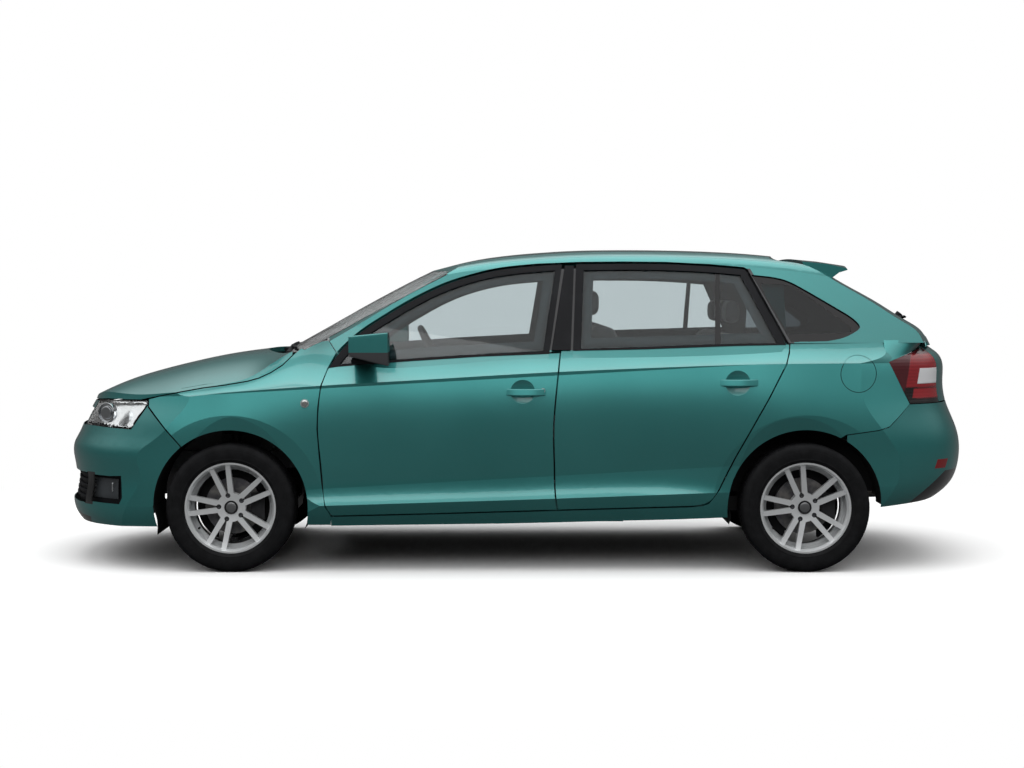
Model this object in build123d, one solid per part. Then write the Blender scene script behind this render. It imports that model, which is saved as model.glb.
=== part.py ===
from build123d import *
import os
from math import cos, pi, radians, sin, sqrt

os.makedirs("parts", exist_ok=True)

# A five-door compact hatchback. Millimetres. The nose points along -X, the driver sits on the -Y side,
# +Z is up, and the origin lies on the ground under the middle of the car.

# ------------------------------------------------------------------ driving dimensions
FRONT_AXLE_X = -1282.0
WHEELBASE = 2602.0
REAR_AXLE_X = FRONT_AXLE_X + WHEELBASE
FRONT_TRACK = 1457.0
REAR_TRACK = 1494.0
HALF_WIDTH = 850.0
LENGTH_MIDDLE = 11.2

TYRE_RADIUS = 291.0
TYRE_WIDTH = 195.0
TREAD_DEPTH = 7.0
RIM_RADIUS = 203.0
RIM_WIDTH = 168.0
SPOKE_PAIRS = 5
BOLT_CIRCLE = 56.0
DISC_RADIUS = 128.0

ARCH_RADIUS = 352.0
ARCH_Z = 293.0
FLARE_RADIUS = 437.0
FLARE_DEPTH = 20.0

PANEL = 3.0
DOOR_SKIN = 4.0
DOOR_DEPTH = 62.0
DOOR_INSET = 18.0
SHUT_GAP = 7.0
STOP_GAP = 0.3
FRAME_DEPTH = 22.0
TRIM = 3.0
GLASS = 4.0
GLASS_SINK = 9.0
PILLAR_DEPTH = 40.0
INNER_SIDE = 604.0
DOOR_CORE_SIDE = 715.0

HANDLE_SIDE = 846.5
HANDLE_REACH = 22.0
HANDLE_THICK = 10.0
HANDLE_HEIGHT = 30.0
CUP_RADIUS = 54.0
CUP_DEPTH = 13.0

HINGE_Y = 824.0
FRONT_HINGE_X = -788.0
REAR_HINGE_X = 246.0

# ------------------------------------------------------------------ body lines, all in side view
NOSE = ((100, -2000), (150, -2050), (200, -2100), (250, -2128), (300, -2133), (516, -2133), (560, -2124),
        (600, -2102), (665, -2073), (740, -2030), (800, -2008), (900, -1985), (1000, -1965))
TAIL = ((100, 1800), (200, 1900), (260, 1965), (330, 2070), (390, 2125), (450, 2147), (600, 2147),
        (665, 2124), (740, 2092), (860, 2073), (980, 2045), (1100, 1990))
NOSE_PLAN = ((0, 0), (34, 306), (105, 500), (215, 640), (385, 762), (640, 862), (900, 930))
TAIL_PLAN = ((0, 0), (22, 300), (70, 500), (150, 640), (290, 742), (520, 835), (800, 910))
HALF_PLAN = ((-2200, 655), (-1950, 732), (-1700, 795), (-1530, 828), (-1282, 848), (-1000, 849), (-800, 848),
             (0, 849), (700, 849), (1100, 848), (1320, 845), (1560, 832), (1800, 802), (2000, 765),
             (2200, 720))
BOTTOM = ((-2200, 186), (-1640, 195), (-1282, 205), (-900, 207), (0, 218), (900, 240), (1320, 262),
          (1670, 280),
          (1900, 300), (2200, 330))
SCOOP_LINE = ((-2200, 290), (-1282, 296), (-850, 305), (150, 335), (700, 355), (1320, 372), (2200, 400))
SCOOP_SHARE = ((-1400, 0.0), (-950, 1.0), (600, 1.0), (1150, 0.0))
CREASE = ((-2200, 700), (-1950, 735), (-1700, 762), (-1500, 793), (-1300, 815), (-1100, 831), (-850, 848),
          (-300, 880),
          (150, 907), (500, 922), (800, 933), (1100, 942), (1300, 945), (1900, 948), (2200, 948))
SHOULDER_TOP = ((-2200, 712), (-1950, 752), (-1700, 775), (-1500, 820), (-1300, 852), (-1188, 885),
                (-1100, 940),
                (-1000, 1000), (-850, 1045), (-600, 1040), (0, 1050), (2200, 1085))
SHOULDER_RUN = ((-2200, 10), (-1700, 14), (-1300, 26), (-1188, 44), (-1100, 80), (-1000, 124), (-850, 112),
                (-400, 88), (0, 80), (700, 80), (1300, 82), (2200, 88))
BONNET_LINE = ((-2200, 630), (-2013, 757), (-1948, 803), (-1839, 850), (-1731, 884), (-1622, 914),
               (-1514, 938),
               (-1405, 960), (-1297, 977), (-1188, 991), (-1100, 1004), (-1000, 1014), (-850, 1047),
               (-600, 1042),
               (0, 1052), (2200, 1087))
BELT = ((-840, 922), (-800, 928), (-500, 952), (-150, 975), (150, 988), (600, 1008), (1000, 1023),
        (1250, 1029))
ROOF = ((-1300, 1290), (-700, 1332), (-391, 1368), (-300, 1392), (-230, 1410), (-150, 1427), (-33, 1443),
        (124, 1457), (280, 1466), (553, 1471), (866, 1466), (1061, 1455), (1217, 1443), (1334, 1430),
        (1569, 1403),
        (2100, 1330))
SECTION_X = (-2200, -2013, -1850, -1700, -1530, -1405, -1282, -1188, -1100, -1000, -850, -600, -300, 0, 400,
             800, 1100,
             1320, 1560, 1800, 2000, 2200)
SCREEN = ((700, -1600), (900, -1260), (985, -1100), (1034, -1012), (1121, -856), (1191, -733), (1245, -634),
          (1302, -526),
          (1350, -430), (1420, -285), (1500, -115))
BACKLIGHT = ((700, 2090), (850, 2070), (940, 2050), (980, 2035), (1020, 2012), (1061, 1991), (1105, 1950),
             (1145, 1882), (1187, 1814),
             (1249, 1710), (1306, 1605), (1375, 1480), (1500, 1250))
ROOF_DROP = ((-391, 40), (-300, 44), (-100, 62), (124, 72), (1200, 74))
SCREEN_BOW = 3.0e-4
REAR_BOW = 2.7e-4
CABIN_PLAN = ((-1300, 700, 590), (-1000, 748, 608), (-850, 772, 622), (-700, 783, 634), (-391, 790, 642),
              (-250, 792, 643), (-100, 792, 644), (100, 792, 644), (280, 792, 644), (500, 792, 642),
              (900, 790, 636),
              (1300, 780, 622), (1700, 744, 588), (2100, 686, 540))


def along(table, key):
    """Straight-line value of a two-column table at key."""
    if key <= table[0][0]:
        return table[0][1]
    for (low, value_low), (high, value_high) in zip(table, table[1:]):
        if key <= high:
            return value_low + (value_high - value_low) * (key - low) / (high - low)
    return table[-1][1]


def one(shape):
    """The largest solid of a boolean result."""
    solids = shape.solids()
    return max(solids, key=lambda solid: solid.volume)


def common(first, *others):
    """Every solid of the intersection of the shapes, as one compound."""
    result = first
    for other in others:
        result = result.intersect(other)
        if result is None:
            return Compound([])
        result = Compound(result.solids())
    return result


def minus(first, *others):
    """First with the others taken away, as one compound."""
    return Compound(first.cut(*others).solids())


def joined(*shapes):
    """The shapes fused together."""
    solids = [solid for shape in shapes for solid in shape.solids()]
    if len(solids) == 1:
        return Compound(solids)
    return Compound(solids[0].fuse(*solids[1:]).solids())


def body_section(x, inset):
    """Closed section of the body below the belt, its corners on the scoop, crease and shoulder."""
    half = along(HALF_PLAN, x) - inset
    low = along(BOTTOM, x)
    scoop = along(SCOOP_LINE, x)
    dip = along(SCOOP_SHARE, x)
    crease = along(CREASE, x)
    top_z = along(SHOULDER_TOP, x) - inset
    top_y = half - along(SHOULDER_RUN, x)
    middle = along(BONNET_LINE, x) - inset
    sill = [(half - 60, low), (half - 38 + 6 * dip, low + 0.45 * (scoop - low)),
            (half - 24 + 19 * dip, scoop)]
    side = [sill[-1], (half - 21 + 2 * dip, scoop + 36), (half - 17 - 8 * dip, scoop + 80),
            (half - 12 - 13 * dip, scoop + 160), (half - 7 - 12 * dip, 590), (half - 3 - 9 * dip, 670),
            (half - 1 - 4 * dip, 760), (half, crease)]
    if x < -1800:
        side = side[:4] + [(half - 5, 590), (half, crease)]
    rise = top_z - crease
    shoulder = [side[-1], (half - 0.40 * (half - top_y), crease + 0.20 * rise),
                (half - 0.70 * (half - top_y), crease + 0.45 * rise), (top_y, top_z)]
    crown = []
    for share in (1.0, 0.86, 0.6, 0.3, 0.0, -0.3, -0.6, -0.86, -1.0):
        crown.append((top_y * share, middle - (middle - top_z) * abs(share) ** 2.8))
    edges = []
    for run in (sill, side, shoulder, crown):
        edges.append(Edge.make_spline([Vector(x, y, z) for y, z in run]))
    for run in (shoulder, side, sill):
        edges.append(Edge.make_spline([Vector(x, -y, z) for y, z in reversed(run)]))
    edges.append(Edge.make_line(Vector(x, -sill[0][0], low), Vector(x, sill[0][0], low)))
    return Wire(edges)


def past_end(profile, plan, hand, inset=0.0):
    """Solid outside the rounded nose (hand -1) or tail (hand +1) of the body."""
    faces = []
    for z, x_end in profile:
        half = [(x_end - hand * (inset + step), y - inset * min(1.0, y / 700)) for step, y in plan]
        points = [Vector(x, -y, z) for x, y in reversed(half)] + [Vector(x, y, z) for x, y in half[1:]]
        rest = Polyline(points[-1], (hand * 3000, points[-1].Y, z), (hand * 3000, points[0].Y, z), points[0])
        faces.append(Wire([Edge.make_spline(points)] + rest.edges()))
    return Solid.make_loft(faces)


def lower_body(inset=0.0):
    """Body below the belt, from nose to tail."""
    tub = Solid.make_loft([body_section(x, inset) for x in SECTION_X])
    return one(tub.cut(past_end(NOSE, NOSE_PLAN, -1, inset), past_end(TAIL, TAIL_PLAN, 1, inset)))


def cabin_section(x, belt_half, rail_half, inset):
    """Closed cross-section of the cabin: side glass, roof corner and roof crown."""
    belt = along(BELT, x)
    roof = along(ROOF, x) - inset
    rail = roof - along(ROOF_DROP, x)
    lean = (belt_half - rail_half) / (1400 - belt)
    low = belt - 110

    def half_at(z):
        share = (z - belt) / (rail - belt)
        return belt_half - inset - lean * (z - belt) + 14 * share * (1 - share)

    side = [(half_at(low + share * (rail - low)), low + share * (rail - low)) for share in (0, 0.35, 0.7, 1)]
    edge = side[-1][0]
    rise = roof - rail
    corner = [side[-1], (edge - 18, rail + 0.38 * rise), (edge - 55, rail + 0.61 * rise),
              (edge - 110, rail + 0.76 * rise)]
    crown = [(corner[-1][0] * share, roof - 0.24 * rise * share**2) for share in (1, 0.6, 0.2, -0.2, -0.6,
                                                                                  -1)]
    edges = [Edge.make_spline([Vector(x, y, z) for y, z in run]) for run in (side, corner, crown)]
    edges += [Edge.make_spline([Vector(x, -y, z) for y, z in reversed(run)]) for run in (corner, side)]
    edges.append(Edge.make_line(Vector(x, -side[0][0], low), Vector(x, side[0][0], low)))
    return Wire(edges)


def past_glass(profile, bow, hand, inset=0.0):
    """Solid outside a bowed end glass: hand -1 lies ahead of the windscreen, +1 behind the rear glass."""
    faces = []
    for z, x_middle in profile:
        x_here = x_middle - hand * inset * 1.5
        points = [Vector(x_here - hand * bow * y * y, y, z) for y in (-950, 0, 950)]
        rest = Polyline(points[-1], (hand * 3000, 950, z), (hand * 3000, -950, z), points[0])
        faces.append(Wire([Edge.make_three_point_arc(*points)] + rest.edges()))
    return Solid.make_loft(faces)


def upper_body(inset=0.0):
    """Cabin above the belt: side glass and roof surfaces, cut by the windscreen and the rear glass."""
    tunnel = Solid.make_loft([cabin_section(x, belt, rail, inset) for x, belt, rail in CABIN_PLAN])
    ahead = past_glass(SCREEN, SCREEN_BOW, -1, inset)
    behind = past_glass(BACKLIGHT, REAR_BOW, 1, inset)
    return one(one(tunnel.cut(ahead)).cut(behind))


def side_prism(points, hand=-1, near=INNER_SIDE, far=1100.0):
    """Prism across one side of the car with the outline given in side view."""
    outline = Face(Wire.make_polygon([Vector(x, hand * near, z) for x, z in points]))
    return Solid.extrude(outline, Vector(0, hand * (far - near), 0))


def curved_prism(runs, hand=-1, near=INNER_SIDE, far=1100.0):
    """Prism across one side of the car: a list is a smooth run of its outline, a tuple straight lines."""
    edges = []
    for run in runs:
        points = [Vector(x, hand * near, z) for x, z in run]
        if isinstance(run, list):
            edges.append(Edge.make_spline(points))
        else:
            edges += [Edge.make_line(start, end) for start, end in zip(points, points[1:])]
    return Solid.extrude(Face(Wire(edges)), Vector(0, hand * (far - near), 0))


def cross_tube(x, z, radius, near, far, hand=-1):
    """Round bar across the car."""
    plane = Plane(origin=(x, hand * near, z), z_dir=(0, hand, 0))
    return Solid.make_cylinder(radius, far - near, plane)


def arch_flare(axle_x, hand=-1, inset=0.0):
    """Cone that hollows the side of the car round one wheel arch."""
    start = HALF_WIDTH - FLARE_DEPTH - inset
    spread = (FLARE_RADIUS - ARCH_RADIUS) / FLARE_DEPTH
    plane = Plane(origin=(axle_x, hand * start, ARCH_Z), z_dir=(0, hand, 0))
    return Solid.make_cone(ARCH_RADIUS, ARCH_RADIUS + spread * 60, 60, plane)


def wheel_arch(axle_x, hand=-1):
    """Space of one wheel arch: the round opening with its flare."""
    return one(cross_tube(axle_x, ARCH_Z, ARCH_RADIUS, 460, 1000, hand).fuse(arch_flare(axle_x, hand)))


def block(x0, x1, y0, y1, z0, z1):
    """Box between two corners."""
    return Solid.make_box(x1 - x0, y1 - y0, z1 - z0).moved(Location((x0, y0, z0)))


def mirrored(shape):
    """The same piece on the other side of the car."""
    return mirror(shape, about=Plane.XZ)


def save(name, shape):
    """Write one node, moved so that the middle of the car's overall length lies at X = 0."""
    solids = shape.moved(Location((-LENGTH_MIDDLE, 0, 0))).solids()
    export_step(solids[0] if len(solids) == 1 else Compound(solids), f"parts/{name}.step",
                write_pcurves=False)


def save_pair(name, shape):
    """Write the driver's side piece and its mirror image."""
    save(f"{name}_left", shape)
    save(f"{name}_right", mirrored(shape))


def shifted(points, step_x=0.0, step_z=0.0):
    """Outline points moved along X and Z."""
    return [(x + step_x, z + step_z) for x, z in points]


# ------------------------------------------------------------------ surfaces shared by the panels
outer = lower_body()
under_panel = lower_body(PANEL)
for axle in (FRONT_AXLE_X, REAR_AXLE_X):
    for side_hand in (-1, 1):
        outer = one(outer.cut(wheel_arch(axle, side_hand)))
        under_panel = one(under_panel.cut(arch_flare(axle, side_hand, PANEL)))
under_skin = lower_body(DOOR_SKIN)
under_door = lower_body(DOOR_DEPTH)
cabin = upper_body()
under_trim = upper_body(TRIM)
glass_face = upper_body(GLASS_SINK)
glass_back = upper_body(GLASS_SINK + GLASS)
under_frame = upper_body(TRIM + FRAME_DEPTH)
pillar_face = upper_body(TRIM + FRAME_DEPTH + 6)
pillar_back = upper_body(TRIM + FRAME_DEPTH + 6 + PILLAR_DEPTH)


def layer(front, back, prism):
    """The part of a shell between two surfaces that lies in a prism."""
    return common(minus(prism, back), front)


# ------------------------------------------------------------------ outlines of the sides, in side view
FRONT_SHUT = [(-825, 258), (-850, 300), (-865, 400), (-878, 550), (-885, 650), (-880, 750), (-865, 850),
              (-840, 922)]
MID_SHUT = [(212, 1000), (200, 900), (190, 800), (182, 700), (180, 600), (183, 500), (185, 400), (190, 330),
            (198, 285)]
REAR_SHUT = [(800, 301), (850, 306), (880, 316), (925, 370), (950, 420), (1000, 520), (1050, 610),
             (1100, 700),
             (1150, 790), (1200, 890), (1225, 940), (1245, 990), (1250, 1029)]
half_gap = SHUT_GAP / 2


# front door, driver's side
front_skin = curved_prism([
    shifted(FRONT_SHUT, half_gap),
    ((-840 + half_gap, 922), (-800, 928)),
    [(-800, 928), (-500, 952), (-150, 975), (212 - half_gap, 990)],
    shifted([(212, 990)] + MID_SHUT[1:], -half_gap),
    ((198 - half_gap, 285), (-400, 268), (-825 + half_gap, 258))])
core_step = half_gap + DOOR_INSET
front_core = curved_prism([
    shifted(FRONT_SHUT[1:-1], core_step),
    ((-865 + core_step, 850), (-810, 908), (-500, 940), (-150, 963), (190 - core_step, 974),
     (190 - core_step, 800)),
    shifted(MID_SHUT[2:-1], -core_step),
    ((190 - core_step, 330), (186 - core_step, 302), (-400, 286), (-820 + DOOR_INSET, 276),
     (-850 + core_step, 300))],
    near=DOOR_CORE_SIDE)
front_frame_outline = [
    [(-836, 922), (-797, 983), (-748, 1037), (-698, 1080), (-600, 1146), (-500, 1206), (-400, 1259),
     (-300, 1304), (-200, 1336), (-100, 1361), (0, 1376), (110, 1386), (222, 1393)],
    ((222, 1393), (160, 985), (150, 930), (-500, 890), (-836, 865), (-836, 922))]
front_window = [
    [(-788, 940), (-760, 975), (-700, 1040), (-600, 1112), (-500, 1173), (-400, 1228), (-300, 1274),
     (-200, 1308),
     (-100, 1333), (0, 1349), (100, 1359), (190, 1366)],
    ((190, 1366), (132, 1001)),
    [(132, 1001), (-150, 987), (-500, 964), (-788, 940)]]
rear_skin = curved_prism([
    shifted(MID_SHUT, half_gap),
    ((198 + half_gap, 285), (500, 293), (800, 301)),
    [(800, 301)] + shifted(REAR_SHUT[1:], -half_gap),
    [(1250 - half_gap, 1029), (1000, 1023), (600, 1008), (212 + half_gap, 1000)]])
rear_core = curved_prism([
    shifted(MID_SHUT[2:-1], core_step),
    ((190 + core_step, 330), (196 + core_step, 305), (500, 311), (780, 319)),
    [(780, 319), (860, 335), (900, 375), (926, 430), (976, 530), (1026, 620), (1076, 710), (1126, 800),
     (1176, 900),
     (1210, 985)],
    ((1210, 985), (1000, 1008), (600, 992), (190 + core_step, 978), (190 + core_step, 800))],
                         near=DOOR_CORE_SIDE)
rear_frame_outline = [
    [(287, 1394), (380, 1395), (500, 1396), (700, 1394), (900, 1384), (1062, 1370)],
    ((1062, 1370), (1232, 1029), (1190, 960), (600, 940), (270, 930), (268, 1000), (287, 1394))]
rear_window = [
    [(322, 1367), (400, 1368), (500, 1369), (700, 1367), (900, 1357), (1040, 1345)],
    ((1040, 1345), (1192, 1036)),
    [(1192, 1036), (1000, 1034), (600, 1020), (304, 1011)],
    ((304, 1011), (322, 1367))]


def handle_cup(x, z, hand=-1):
    """Ball that hollows the finger cup behind a door handle."""
    ball = (CUP_RADIUS**2 + CUP_DEPTH**2) / (2 * CUP_DEPTH)
    return Solid.make_sphere(ball, angle1=-90).moved(Location((x, hand * (HANDLE_SIDE + ball - CUP_DEPTH),
                                                               z)))


def handle_grip(x_front, x_rear, z, hand=-1):
    """Bowed grip bar that stands off the door over its cup."""
    middle = (x_front + x_rear) / 2
    inside = hand * (HANDLE_SIDE - 6)
    outer_arc = Edge.make_three_point_arc(
        Vector(x_front, inside, z), Vector(middle, hand * (HANDLE_SIDE + HANDLE_REACH), z),
                                          Vector(x_rear, inside, z))
    inner_arc = Edge.make_three_point_arc(
        Vector(x_rear - 17, inside, z), Vector(middle, hand * (HANDLE_SIDE + HANDLE_REACH - HANDLE_THICK), z),
        Vector(x_front + 17, inside, z))
    ends = [Edge.make_line(Vector(x_rear, inside, z), Vector(x_rear - 17, inside, z)),
            Edge.make_line(Vector(x_front + 17, inside, z), Vector(x_front, inside, z))]
    bar = Solid.extrude(Face(Wire([outer_arc, ends[0], inner_arc, ends[1]])), Vector(0, 0, HANDLE_HEIGHT))
    bar = bar.moved(Location((0, 0, -HANDLE_HEIGHT / 2)))
    long_edges = [edge for edge in bar.edges() if edge.geom_type == GeomType.CIRCLE]
    return fillet(long_edges, 3.5)


def door(skin, core, frame_outline, window, cup, grip):
    """Door shell: outer skin, inner box, window frame and outside handle in one piece."""
    skin_part = layer(outer, under_skin, skin)
    core_part = layer(under_panel, under_door, core)
    frame = layer(under_trim, under_frame, curved_prism(frame_outline))
    frame = minus(frame, curved_prism(window))
    shell = one(joined(skin_part, core_part, one(frame)))
    return one(joined(minus(shell, handle_cup(*cup)), handle_grip(*grip)))


def door_trim(frame_outline, window, belt_line):
    """Black outer band round the side glass, from the belt up."""
    ring = layer(cabin, under_trim, curved_prism(frame_outline))
    below = side_prism(belt_line + [(belt_line[-1][0], 700), (belt_line[0][0], 700)])
    return one(minus(ring, curved_prism(window), below))


FRONT_BELT = [(-900, 919), (-840, 923), (-800, 929), (-500, 953), (-150, 976), (260, 992)]
REAR_BELT = [(180, 1000), (600, 1009), (1000, 1024), (1300, 1030)]

save_pair("front_door", door(front_skin, front_core, front_frame_outline, front_window, (40, 815),
                             (-45, 155, 817)))
save_pair("front_door_trim", door_trim(front_frame_outline, front_window, FRONT_BELT))
save_pair("front_door_glass", one(layer(glass_face, glass_back, curved_prism(front_window))))
save_pair("rear_door", door(rear_skin, rear_core, rear_frame_outline, rear_window, (1008, 857),
                            (915, 1112, 859)))
save_pair("rear_door_trim", door_trim(rear_frame_outline, rear_window, REAR_BELT))
save_pair("rear_door_glass", one(layer(glass_face, glass_back, curved_prism(rear_window))))

# ------------------------------------------------------------------ fenders, body sides and roof
BONNET_SHUT = [(-2080, 745), (-1950, 766), (-1880, 774), (-1780, 776), (-1700, 778), (-1600, 800),
               (-1500, 820),
               (-1400, 838), (-1300, 851), (-1200, 868), (-1150, 882), (-1100, 905), (-1050, 938),
               (-1000, 988)]
SCREEN_EDGE = [(-955, 998), (-845, 1058), (-700, 1137), (-500, 1243), (-400, 1296), (-303, 1346)]
TAIL_SEAM_Y = 588.0
ROOF_SEAM_X = 1284.0
SILL_INNER = 690.0

fender = one(layer(outer, under_panel, side_prism(
    [(-1655, 780)] + shifted(BONNET_SHUT[5:], 2, -5)
    + [(-966, 1010), (-950, 1004), (-900, 1030), (-845, 1052), (-806, 992)]
    + [(x - half_gap, z) for x, z in reversed(FRONT_SHUT)] + [(-829, 212), (-1500, 212), (-1500, 573),
                                                              (-1655, 748)],
    near=560)))
save_pair("front_fender", fender)

RAIL_LOW = [(-802, 995), (-754, 1045), (-703, 1089), (-603, 1156), (-503, 1217), (-403, 1270), (-302, 1315),
            (-201, 1347), (-101, 1372), (0, 1387), (110, 1397)]
quarter_window = curved_prism([
    [(1090, 1346), (1150, 1340), (1200, 1333), (1255, 1318), (1320, 1285), (1400, 1238), (1500, 1178),
     (1560, 1135),
     (1577, 1108), (1550, 1083), (1490, 1057), (1420, 1044)],
    ((1420, 1044), (1256, 1040), (1090, 1346))])
rail = minus(layer(cabin, under_frame, curved_prism([
    RAIL_LOW,
    ((110, 1397), (300, 1405), (500, 1407), (700, 1405), (900, 1395), (1058, 1381), (1075, 1371),
     (1246, 1036),
     (2150, 1036), (2150, 1500), (-303, 1500)) + tuple(reversed(SCREEN_EDGE[1:])) + ((-802, 995),)],
    near=TAIL_SEAM_Y + 4)), quarter_window)
pillar_ring = layer(pillar_face, pillar_back, curved_prism([
    ((-815, 930), (-815, 996)) + tuple(shifted(RAIL_LOW[1:], 6, 8))
    + ((300, 1414), (700, 1414), (1056, 1392), (1240, 1350), (1240, 900), (1180, 900), (1180, 1030),
       (1025, 1328)),
    [(1025, 1328), (900, 1341), (700, 1350), (500, 1352), (345, 1350)],
    ((345, 1350), (322, 1000), (322, 900), (110, 900), (112, 1000), (175, 1350)),
    [(175, 1350), (100, 1343), (0, 1333), (-100, 1317), (-200, 1292), (-300, 1258), (-400, 1212),
     (-500, 1157),
     (-600, 1096), (-700, 1024), (-740, 930)],
    ((-740, 930), (-815, 930))], near=530))
pillar_ring = minus(pillar_ring, block(100, 1215, -900, -DOOR_CORE_SIDE + 3, 850, 995),
                    block(-820, -735, -900, -728, 920, 985))
sill = minus(common(outer, block(-828, 982, -1000, -SILL_INNER, 150, 330)), side_prism(
    [(-900, 251), (-825, 251), (-400, 261), (200, 278), (850, 295), (1000, 298), (1000, 400), (-900, 400)],
    near=SILL_INNER + 56))
quarter = layer(outer, under_panel, side_prism(
    shifted(REAR_SHUT[:3], half_gap, -SHUT_GAP) + shifted(REAR_SHUT[3:], half_gap) + [(1257, 1036), (1300, 1042), (2200, 1042), (2200, 1012), (1870, 1012),
                                    (1700, 950),
     (1805, 757), (1751, 704), (1701, 659), (1650, 644), (1500, 624), (1400, 560), (990, 420), (975, 250),
     (800 + half_gap, 290)],
    near=TAIL_SEAM_Y + 4))
pillar_post = joined(common(under_door, block(196, 292, -746, -SILL_INNER, 255, 830)),
                     block(196, 292, -704, -SILL_INNER, 820, 1012), block(204, 288, -735, -696, 992, 1012))
front_post = common(under_door, block(-868, -815, -727, -590, 255, 985))
body_side = joined(*[one(piece) for piece in (rail, pillar_ring, sill, quarter, pillar_post, front_post)])
flap_place = Plane(origin=(1555, -700, 898), z_dir=(0, -1, 0))
flap_ring = minus(Solid.make_cylinder(84.5, 300, flap_place), Solid.make_cylinder(81.5, 300, flap_place))
save("body_side_left", one(minus(body_side, layer(outer, lower_body(1.8), flap_ring))))
save("body_side_right", mirrored(body_side))
pillar_cover = one(minus(layer(cabin, pillar_face, side_prism([(172, 1005), (258, 1005), (277, 1388),
                                                               (236, 1388)],
                                                               near=570)), body_side))
save_pair("pillar_cover", pillar_cover)
quarter_glass = one(layer(glass_face, glass_back, quarter_window))
save("quarter_windows", Compound([quarter_glass, mirrored(quarter_glass)]))

screen_layer = common(past_glass(SCREEN, SCREEN_BOW, -1, GLASS + 1), cabin)
screen_top = block(-1300, -303, -800, 800, 985, 1363)
beside_screen = side_prism([(-1300, 700), (-955, 700), (-955, 998)] + SCREEN_EDGE[1:] + [(-303, 700),
                                                                                         (-700, 600)],
                           near=500)
windscreen = one(minus(common(screen_layer, screen_top), beside_screen, mirrored(beside_screen)))
save("windscreen", windscreen)
roof = minus(common(cabin, block(-420, ROOF_SEAM_X, -TAIL_SEAM_Y - 4, TAIL_SEAM_Y + 4, 1300, 1500)),
             upper_body(12.0),
             common(past_glass(SCREEN, SCREEN_BOW, -1, GLASS + 1.4),
                    block(-1300, -303, -800, 800, 985, 1363.5)))
save("roof_panel", one(roof))

# ------------------------------------------------------------------ bonnet
BONNET_DEPTH = 24.0


def cowl_edge(x_middle):
    """Plan curve of the bonnet's rear edge."""
    return [Vector(x_middle + 3.6e-4 * y * y, y, 600) for y in (-900, -600, -300, 0, 300, 600, 900)]


def ahead_of(x_middle):
    """Solid ahead of the bonnet's rear edge."""
    curve = Edge.make_spline(cowl_edge(x_middle))
    start, end = curve.position_at(0), curve.position_at(1)
    rest = Polyline(end, (-2400, end.Y, 600), (-2400, start.Y, 600), start)
    return Solid.extrude(Face(Wire([curve] + rest.edges())), Vector(0, 0, 600))


bonnet_prism = Solid.extrude(
    Face(Wire.make_polygon([Vector(x, -900, z) for x, z in BONNET_SHUT[:-1] + [(-1006, 982), (-1004, 1100),
                                                                               (-2080, 1100)]])),
    Vector(0, 1800, 0))
under_bonnet = lower_body(BONNET_DEPTH)
bonnet = one(minus(common(outer, bonnet_prism, ahead_of(-1190)), under_bonnet))
save("bonnet", bonnet)

# ------------------------------------------------------------------ bumpers, lamps and grille
LAMP_INNER = 430.0
REAR_LAMP_INNER = TAIL_SEAM_Y + 4
lamp_prism = side_prism([(-2100, 741), (-1950, 761), (-1880, 769), (-1780, 771), (-1660, 773), (-1660, 752),
                         (-1740, 642), (-1950, 647), (-2100, 642)], near=LAMP_INNER)
lamp = one(layer(outer, under_door, lamp_prism))
save("headlamps", Compound([lamp, mirrored(lamp)]))
bumper_prism = Solid.extrude(
    Face(Wire.make_polygon([Vector(x, -900, z) for x, z in (
        (-2300, 736), (-2100, 737), (-1950, 757), (-1880, 765), (-1780, 767), (-1660, 769), (-1660, 742),
                                                            (-1505, 571),
        (-1505, 203), (-2300, 189))])), Vector(0, 1800, 0))
grille_void = block(-2400, -1900, -425, 425, 640, 722)
intake_void = block(-2400, -1900, -560, 560, 290, 430)
fog_void = side_prism([(-2400, 300), (-1800, 300), (-1785, 330), (-1790, 430), (-1850, 425), (-2400, 425)],
                      near=600)
front_bumper = minus(common(outer, bumper_prism), under_panel, lamp_prism, mirrored(lamp_prism), grille_void,
                     intake_void, fog_void, mirrored(fog_void))
save("front_bumper", one(front_bumper))
under_grille = lower_body(26.0)
under_grille_back = lower_body(34.0)
grille_layer = minus(layer(under_grille, under_grille_back, block(-2300, -1780, -860, 860, 285, 722)),
                     lamp_prism,
                     mirrored(lamp_prism))
slats = [block(-2300, -1900, -430, 430, z, z + 7) for z in (655, 672, 689, 706)]
slats += [block(-2300, -1900, -565, 565, z, z + 9) for z in (312, 337, 362, 387, 412)]
grille_bars = minus(common(layer(lower_body(14.0), under_grille_back,
                                 block(-2300, -1900, -565, 565, 285, 722)),
                           Compound(slats)), lamp_prism, mirrored(lamp_prism))
save("grille", joined(one(grille_layer), *grille_bars.solids()))

tail_prism = side_prism([(1700, 950), (1872, 1010), (2300, 1010), (2300, 759), (1807, 759)],
                        near=REAR_LAMP_INNER)
tail_lamp = one(layer(outer, under_door, tail_prism))
save("tail_lamps", Compound([tail_lamp, mirrored(tail_lamp)]))
rear_bumper_prism = Solid.extrude(
    Face(Wire.make_polygon([Vector(x, -900, z) for x, z in (
        (2300, 755), (1805, 755), (1751, 700), (1701, 655), (1650, 640), (1505, 620), (1505, 276),
                                                            (1900, 304), (2300, 344))])),
    Vector(0, 1800, 0))
rear_bumper = one(minus(common(outer, rear_bumper_prism), under_panel))
save("rear_bumper", rear_bumper)

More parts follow.
